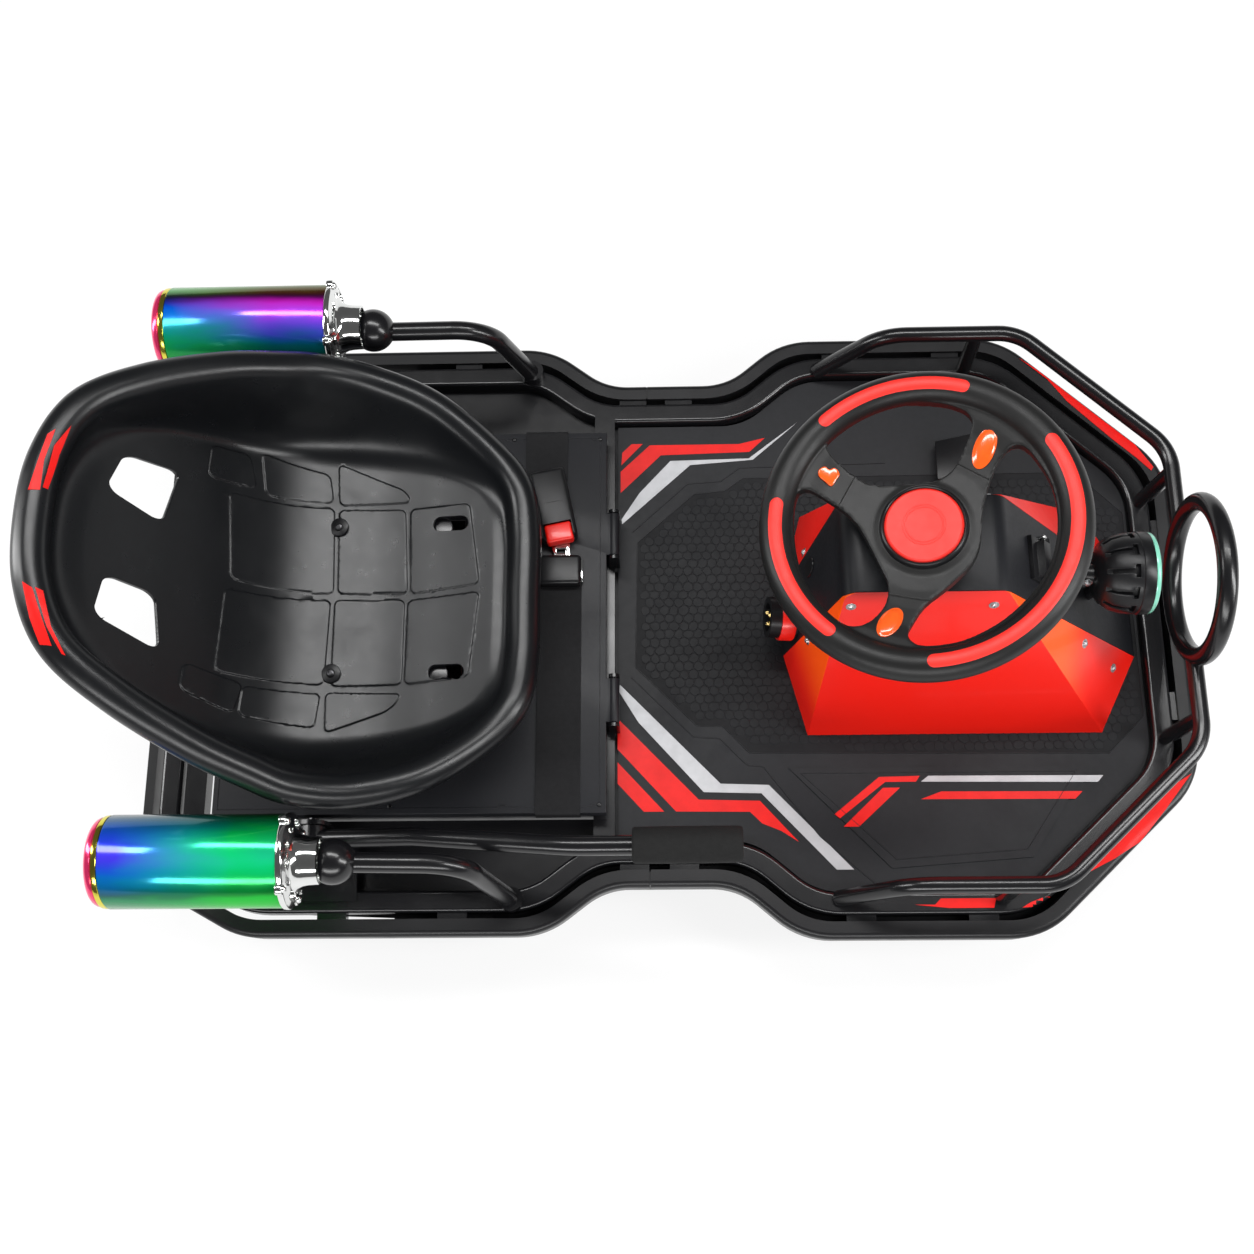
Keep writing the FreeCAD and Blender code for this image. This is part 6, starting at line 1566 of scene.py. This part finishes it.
def finishLid():
    # the welded flange shows as a fine line inside the lid's edge, broken by small notches
    sizes = lidSizes
    z, half = sizes["top"], sizes["half"]
    corners = [(sizes["rear"], -half), (sizes["front"], -half), (sizes["front"], half), (sizes["rear"], half)]
    lines = [lineTube([(x, y, z) for x, y in corners], sizes["radius"], closed=True)]
    first, second, last = sizes["notchRun"]
    for x, y in sizes["notches"]:
        inner = y - math.copysign(sizes["notchDeep"], y)
        notch = [(x, y, z), (x + first, inner, z), (x + second, inner, z), (x + last, y, z)]
        lines.append(lineTube(notch, sizes["radius"]))
    finishPiece(joinPieces(lines), "lidLines", "seat_and_lid", "sheetBlack", smooth=60)


finishLid()


# ---- bolts and screws ----

screwSizes = {
    # target: body, finish, then places, radius, height and washer in millimetres
    "fairingRight": ("chassis", "zincSteel", [(220, -62), (371, -62), (185, -54), (500, -62), (550, -70)],
                     3.4, 2.2, 0.8),
    "fairingLeft": ("chassis", "zincSteel", [(220, 62), (374, 62), (185, 54), (500, 62)], 3.4, 2.2, 0.8),
    "seatLid": ("seat_and_lid", "powderBlack", [(-164, 232), (-107, 232), (-57, 231), (-57, -231), (-300, -231)],
                2.6, 1.4, 0),
}
seatBoltSizes = metres({
    "spots": [(-362, -90), (-362, 90)], "search": 9, "sunk": 0.6, "bolt": (5.2, 3), "up": (0, 0, 2),
    "washer": [(0, 0), (10.8, 0), (11.4, 0.6), (11.2, 1.6), (10, 2), (0, 2)],
})


def finishScrews():
    for target, (body, finish, *rest) in screwSizes.items():
        places, radius, height, washer = metres(rest)
        heads = []
        for x, y in places:
            hit, spot, normal = castDown(bpy.data.objects[target], x, y)
            if hit:
                heads.append(roundHead(radius, height, washer))
                bakePlace(heads[-1], turnTo(normal, spot - normal * 0.0001))
        print(target, len(heads), "screws")
        if heads:
            finishPiece(joinPieces(heads), target + "Screws", body, finish, smooth=30)
    sizes = seatBoltSizes
    washers, bolts = [], []
    for x, y in sizes["spots"]:
        level, normal = levelAt(seatPiece, x, y, sizes["search"], 1.0)
        place = turnTo(normal, (x, y, level - sizes["sunk"]))
        washers.append(turned(sizes["washer"], steps=32))
        bakePlace(washers[-1], place)
        bolts.append(roundHead(*sizes["bolt"]))
        bakePlace(bolts[-1], place @ Matrix.Translation(sizes["up"]))
    finishPiece(joinPieces(washers), "seatWashers", "seat_and_lid", "blackPlastic", smooth=30)
    finishPiece(joinPieces(bolts), "seatBolts", "seat_and_lid", "darkZinc", smooth=30)


finishScrews()


# ---- console details ----

consoleSizes = {
    "ovalEdge": [(0, 0), (0.96, 0), (1.0, 0.0006), (0.96, 0.0014), (0, 0.0016)],
    **metres({
        # foot of the console's rear face, the way it rises, and the height of the socket
        "foot": (164, -14, 108), "rise": (49, 0, 272), "socketZ": 172,
        "contact": [(0, 0), (2.6, 0), (2.6, 10.5), (1.56, 12.5), (0, 12.5)], "contactAt": (0, 8, 22.5),
        "collar": [(23.5, 4), (26.3, 4), (26.9, 6), (26.9, 19), (26.3, 21), (23.5, 21)],
        "latchPin": [(0, 0), (3, 0), (3, 8.5), (2.2, 9.8), (0, 10)], "latchAt": [(433, 28.5), (440, -28.5)],
        "oval": (10.5, 19), "ovalAt": (188, 24),
    }),
}


def finishConsole():
    # brass contacts and a red collar on the charging socket, pins beside the latch, an oval plate on the hood
    sizes = consoleSizes
    rise = Vector(sizes["rise"]).normalized()
    foot = Vector(sizes["foot"])
    place = turnTo((-rise.z, 0, rise.x), foot + rise * ((sizes["socketZ"] - foot.z) / rise.z))
    contacts = [turned(sizes["contact"], steps=20) for turn in range(3)]
    for turn, contact in enumerate(contacts):
        spin = Matrix.Rotation(2 * math.pi * turn / 3, 4, "Z")
        bakePlace(contact, place @ spin @ Matrix.Translation(sizes["contactAt"]))
    finishPiece(joinPieces(contacts), "socketPins", "chassis", "brassPin", smooth=30)
    finishPiece(turned(sizes["collar"], steps=48), "socketCollar", "chassis", "redPlastic", place=place)
    hood = bpy.data.objects["consoleHood"]
    pins = []
    for x, y in sizes["latchAt"]:
        _, spot, normal = castDown(hood, x, y)
        pins.append(turned(sizes["latchPin"], steps=20))
        bakePlace(pins[-1], turnTo(normal, spot))
    finishPiece(joinPieces(pins), "latchPins", "chassis", "chromeSteel", smooth=30)
    _, spot, normal = castDown(hood, *sizes["ovalAt"])
    oval = turned(sizes["ovalEdge"], steps=40)
    oval.scale = (*sizes["oval"], 1)
    bakePlace(oval)
    finishPiece(oval, "hoodOval", "chassis", "blackPlastic", place=turnTo(normal, spot))


finishConsole()
print("small parts made")


# ---- floor, lights and camera ----

stageSizes = {
    "floor": 14, "floorZ": -0.0005, "floorWhite": 0.80, "world": 0.34, "glossy": 0.10,
    # spot, target, size, power
    "lamps": {
        "softTop": ((0.1, 0.7, 2.4), (0, 0, 0.2), (2.4, 0.35), 40),
        "softFront": ((1.9, -0.5, 1.5), (0.1, 0, 0.2), (0.4, 1.8), 34),
        "softSide": ((-0.2, -2.0, 1.3), (0, 0, 0.2), (2.6, 0.4), 34),
        "softRear": ((-2.0, 0.3, 1.2), (0, 0, 0.2), (0.4, 1.8), 30),
    },
    "camera": (0.030, -0.609, 1.970), "turn": (18.061, 1.746, -0.124), "lens": 45.93, "sensor": 36.0,
}


def makeFloor():
    deselectAll()
    bpy.ops.mesh.primitive_plane_add(size=stageSizes["floor"], location=(0, 0, stageSizes["floorZ"]))
    floor = bpy.context.object
    floor.name = "studioFloor"
    material, tree, shader = newMaterial("floorWhite", (0.86, 0.86, 0.86), 0.7)
    cloudy = addNoise(tree, objectSpace(tree), 3.0, 3.0)
    tree.links.new(mixColors(tree, cloudy, (0.87, 0.87, 0.87), (0.84, 0.84, 0.845)), shader.inputs["Base Color"])
    rays = addNode(tree, "ShaderNodeLightPath").outputs
    seen = addMath(tree, "ADD", rays["Is Camera Ray"], rays["Is Glossy Ray"], clamp=True)
    seen = addMath(tree, "ADD", seen, rays["Is Transmission Ray"], clamp=True)
    white = addNode(tree, "ShaderNodeEmission", {"Color": (1, 1, 1, 1), "Strength": 1.0})
    share = addMath(tree, "MULTIPLY", seen, stageSizes["floorWhite"])
    both = addNode(tree, "ShaderNodeMixShader", {0: share, 1: shader.outputs[0], 2: white.outputs[0]})
    tree.links.new(both.outputs[0], tree.nodes["Material Output"].inputs["Surface"])
    floor.data.materials.append(material)


def makeLamp(name, spot, target, size, power):
    lamp = bpy.data.lights.new(name, "AREA")
    lamp.shape = "RECTANGLE"
    lamp.size, lamp.size_y = size
    lamp.energy = power
    holder = addObject(name, lamp)
    holder.location = spot
    holder.rotation_euler = (Vector(target) - Vector(spot)).to_track_quat("-Z", "Y").to_euler()
    holder.visible_camera = False


def makeWorld():
    world = bpy.data.worlds.new("studio")
    bpy.context.scene.world = world
    world.use_nodes = True
    sky = world.node_tree
    rays = addNode(sky, "ShaderNodeLightPath").outputs
    strength = addRange(sky, rays["Is Glossy Ray"], 0.0, 1.0, stageSizes["world"], stageSizes["glossy"])
    strength = addMath(sky, "MAXIMUM", strength, rays["Is Camera Ray"])
    white = addNode(sky, "ShaderNodeBackground", {"Color": (1, 1, 1, 1), "Strength": strength})
    sky.links.new(white.outputs[0], sky.nodes["World Output"].inputs["Surface"])


def makeCamera():
    eye = bpy.data.cameras.new("studioCamera")
    eye.lens = stageSizes["lens"]
    eye.sensor_width = stageSizes["sensor"]
    camera = addObject("studioCamera", eye)
    camera.location = stageSizes["camera"]
    camera.rotation_euler = [math.radians(angle) for angle in stageSizes["turn"]]
    bpy.context.scene.camera = camera


makeFloor()
for name, settings in stageSizes["lamps"].items():
    makeLamp(name, *settings)
makeWorld()
makeCamera()
bpy.context.scene.view_settings.view_transform = "Standard"

bpy.context.view_layer.update()
print("scene ready")
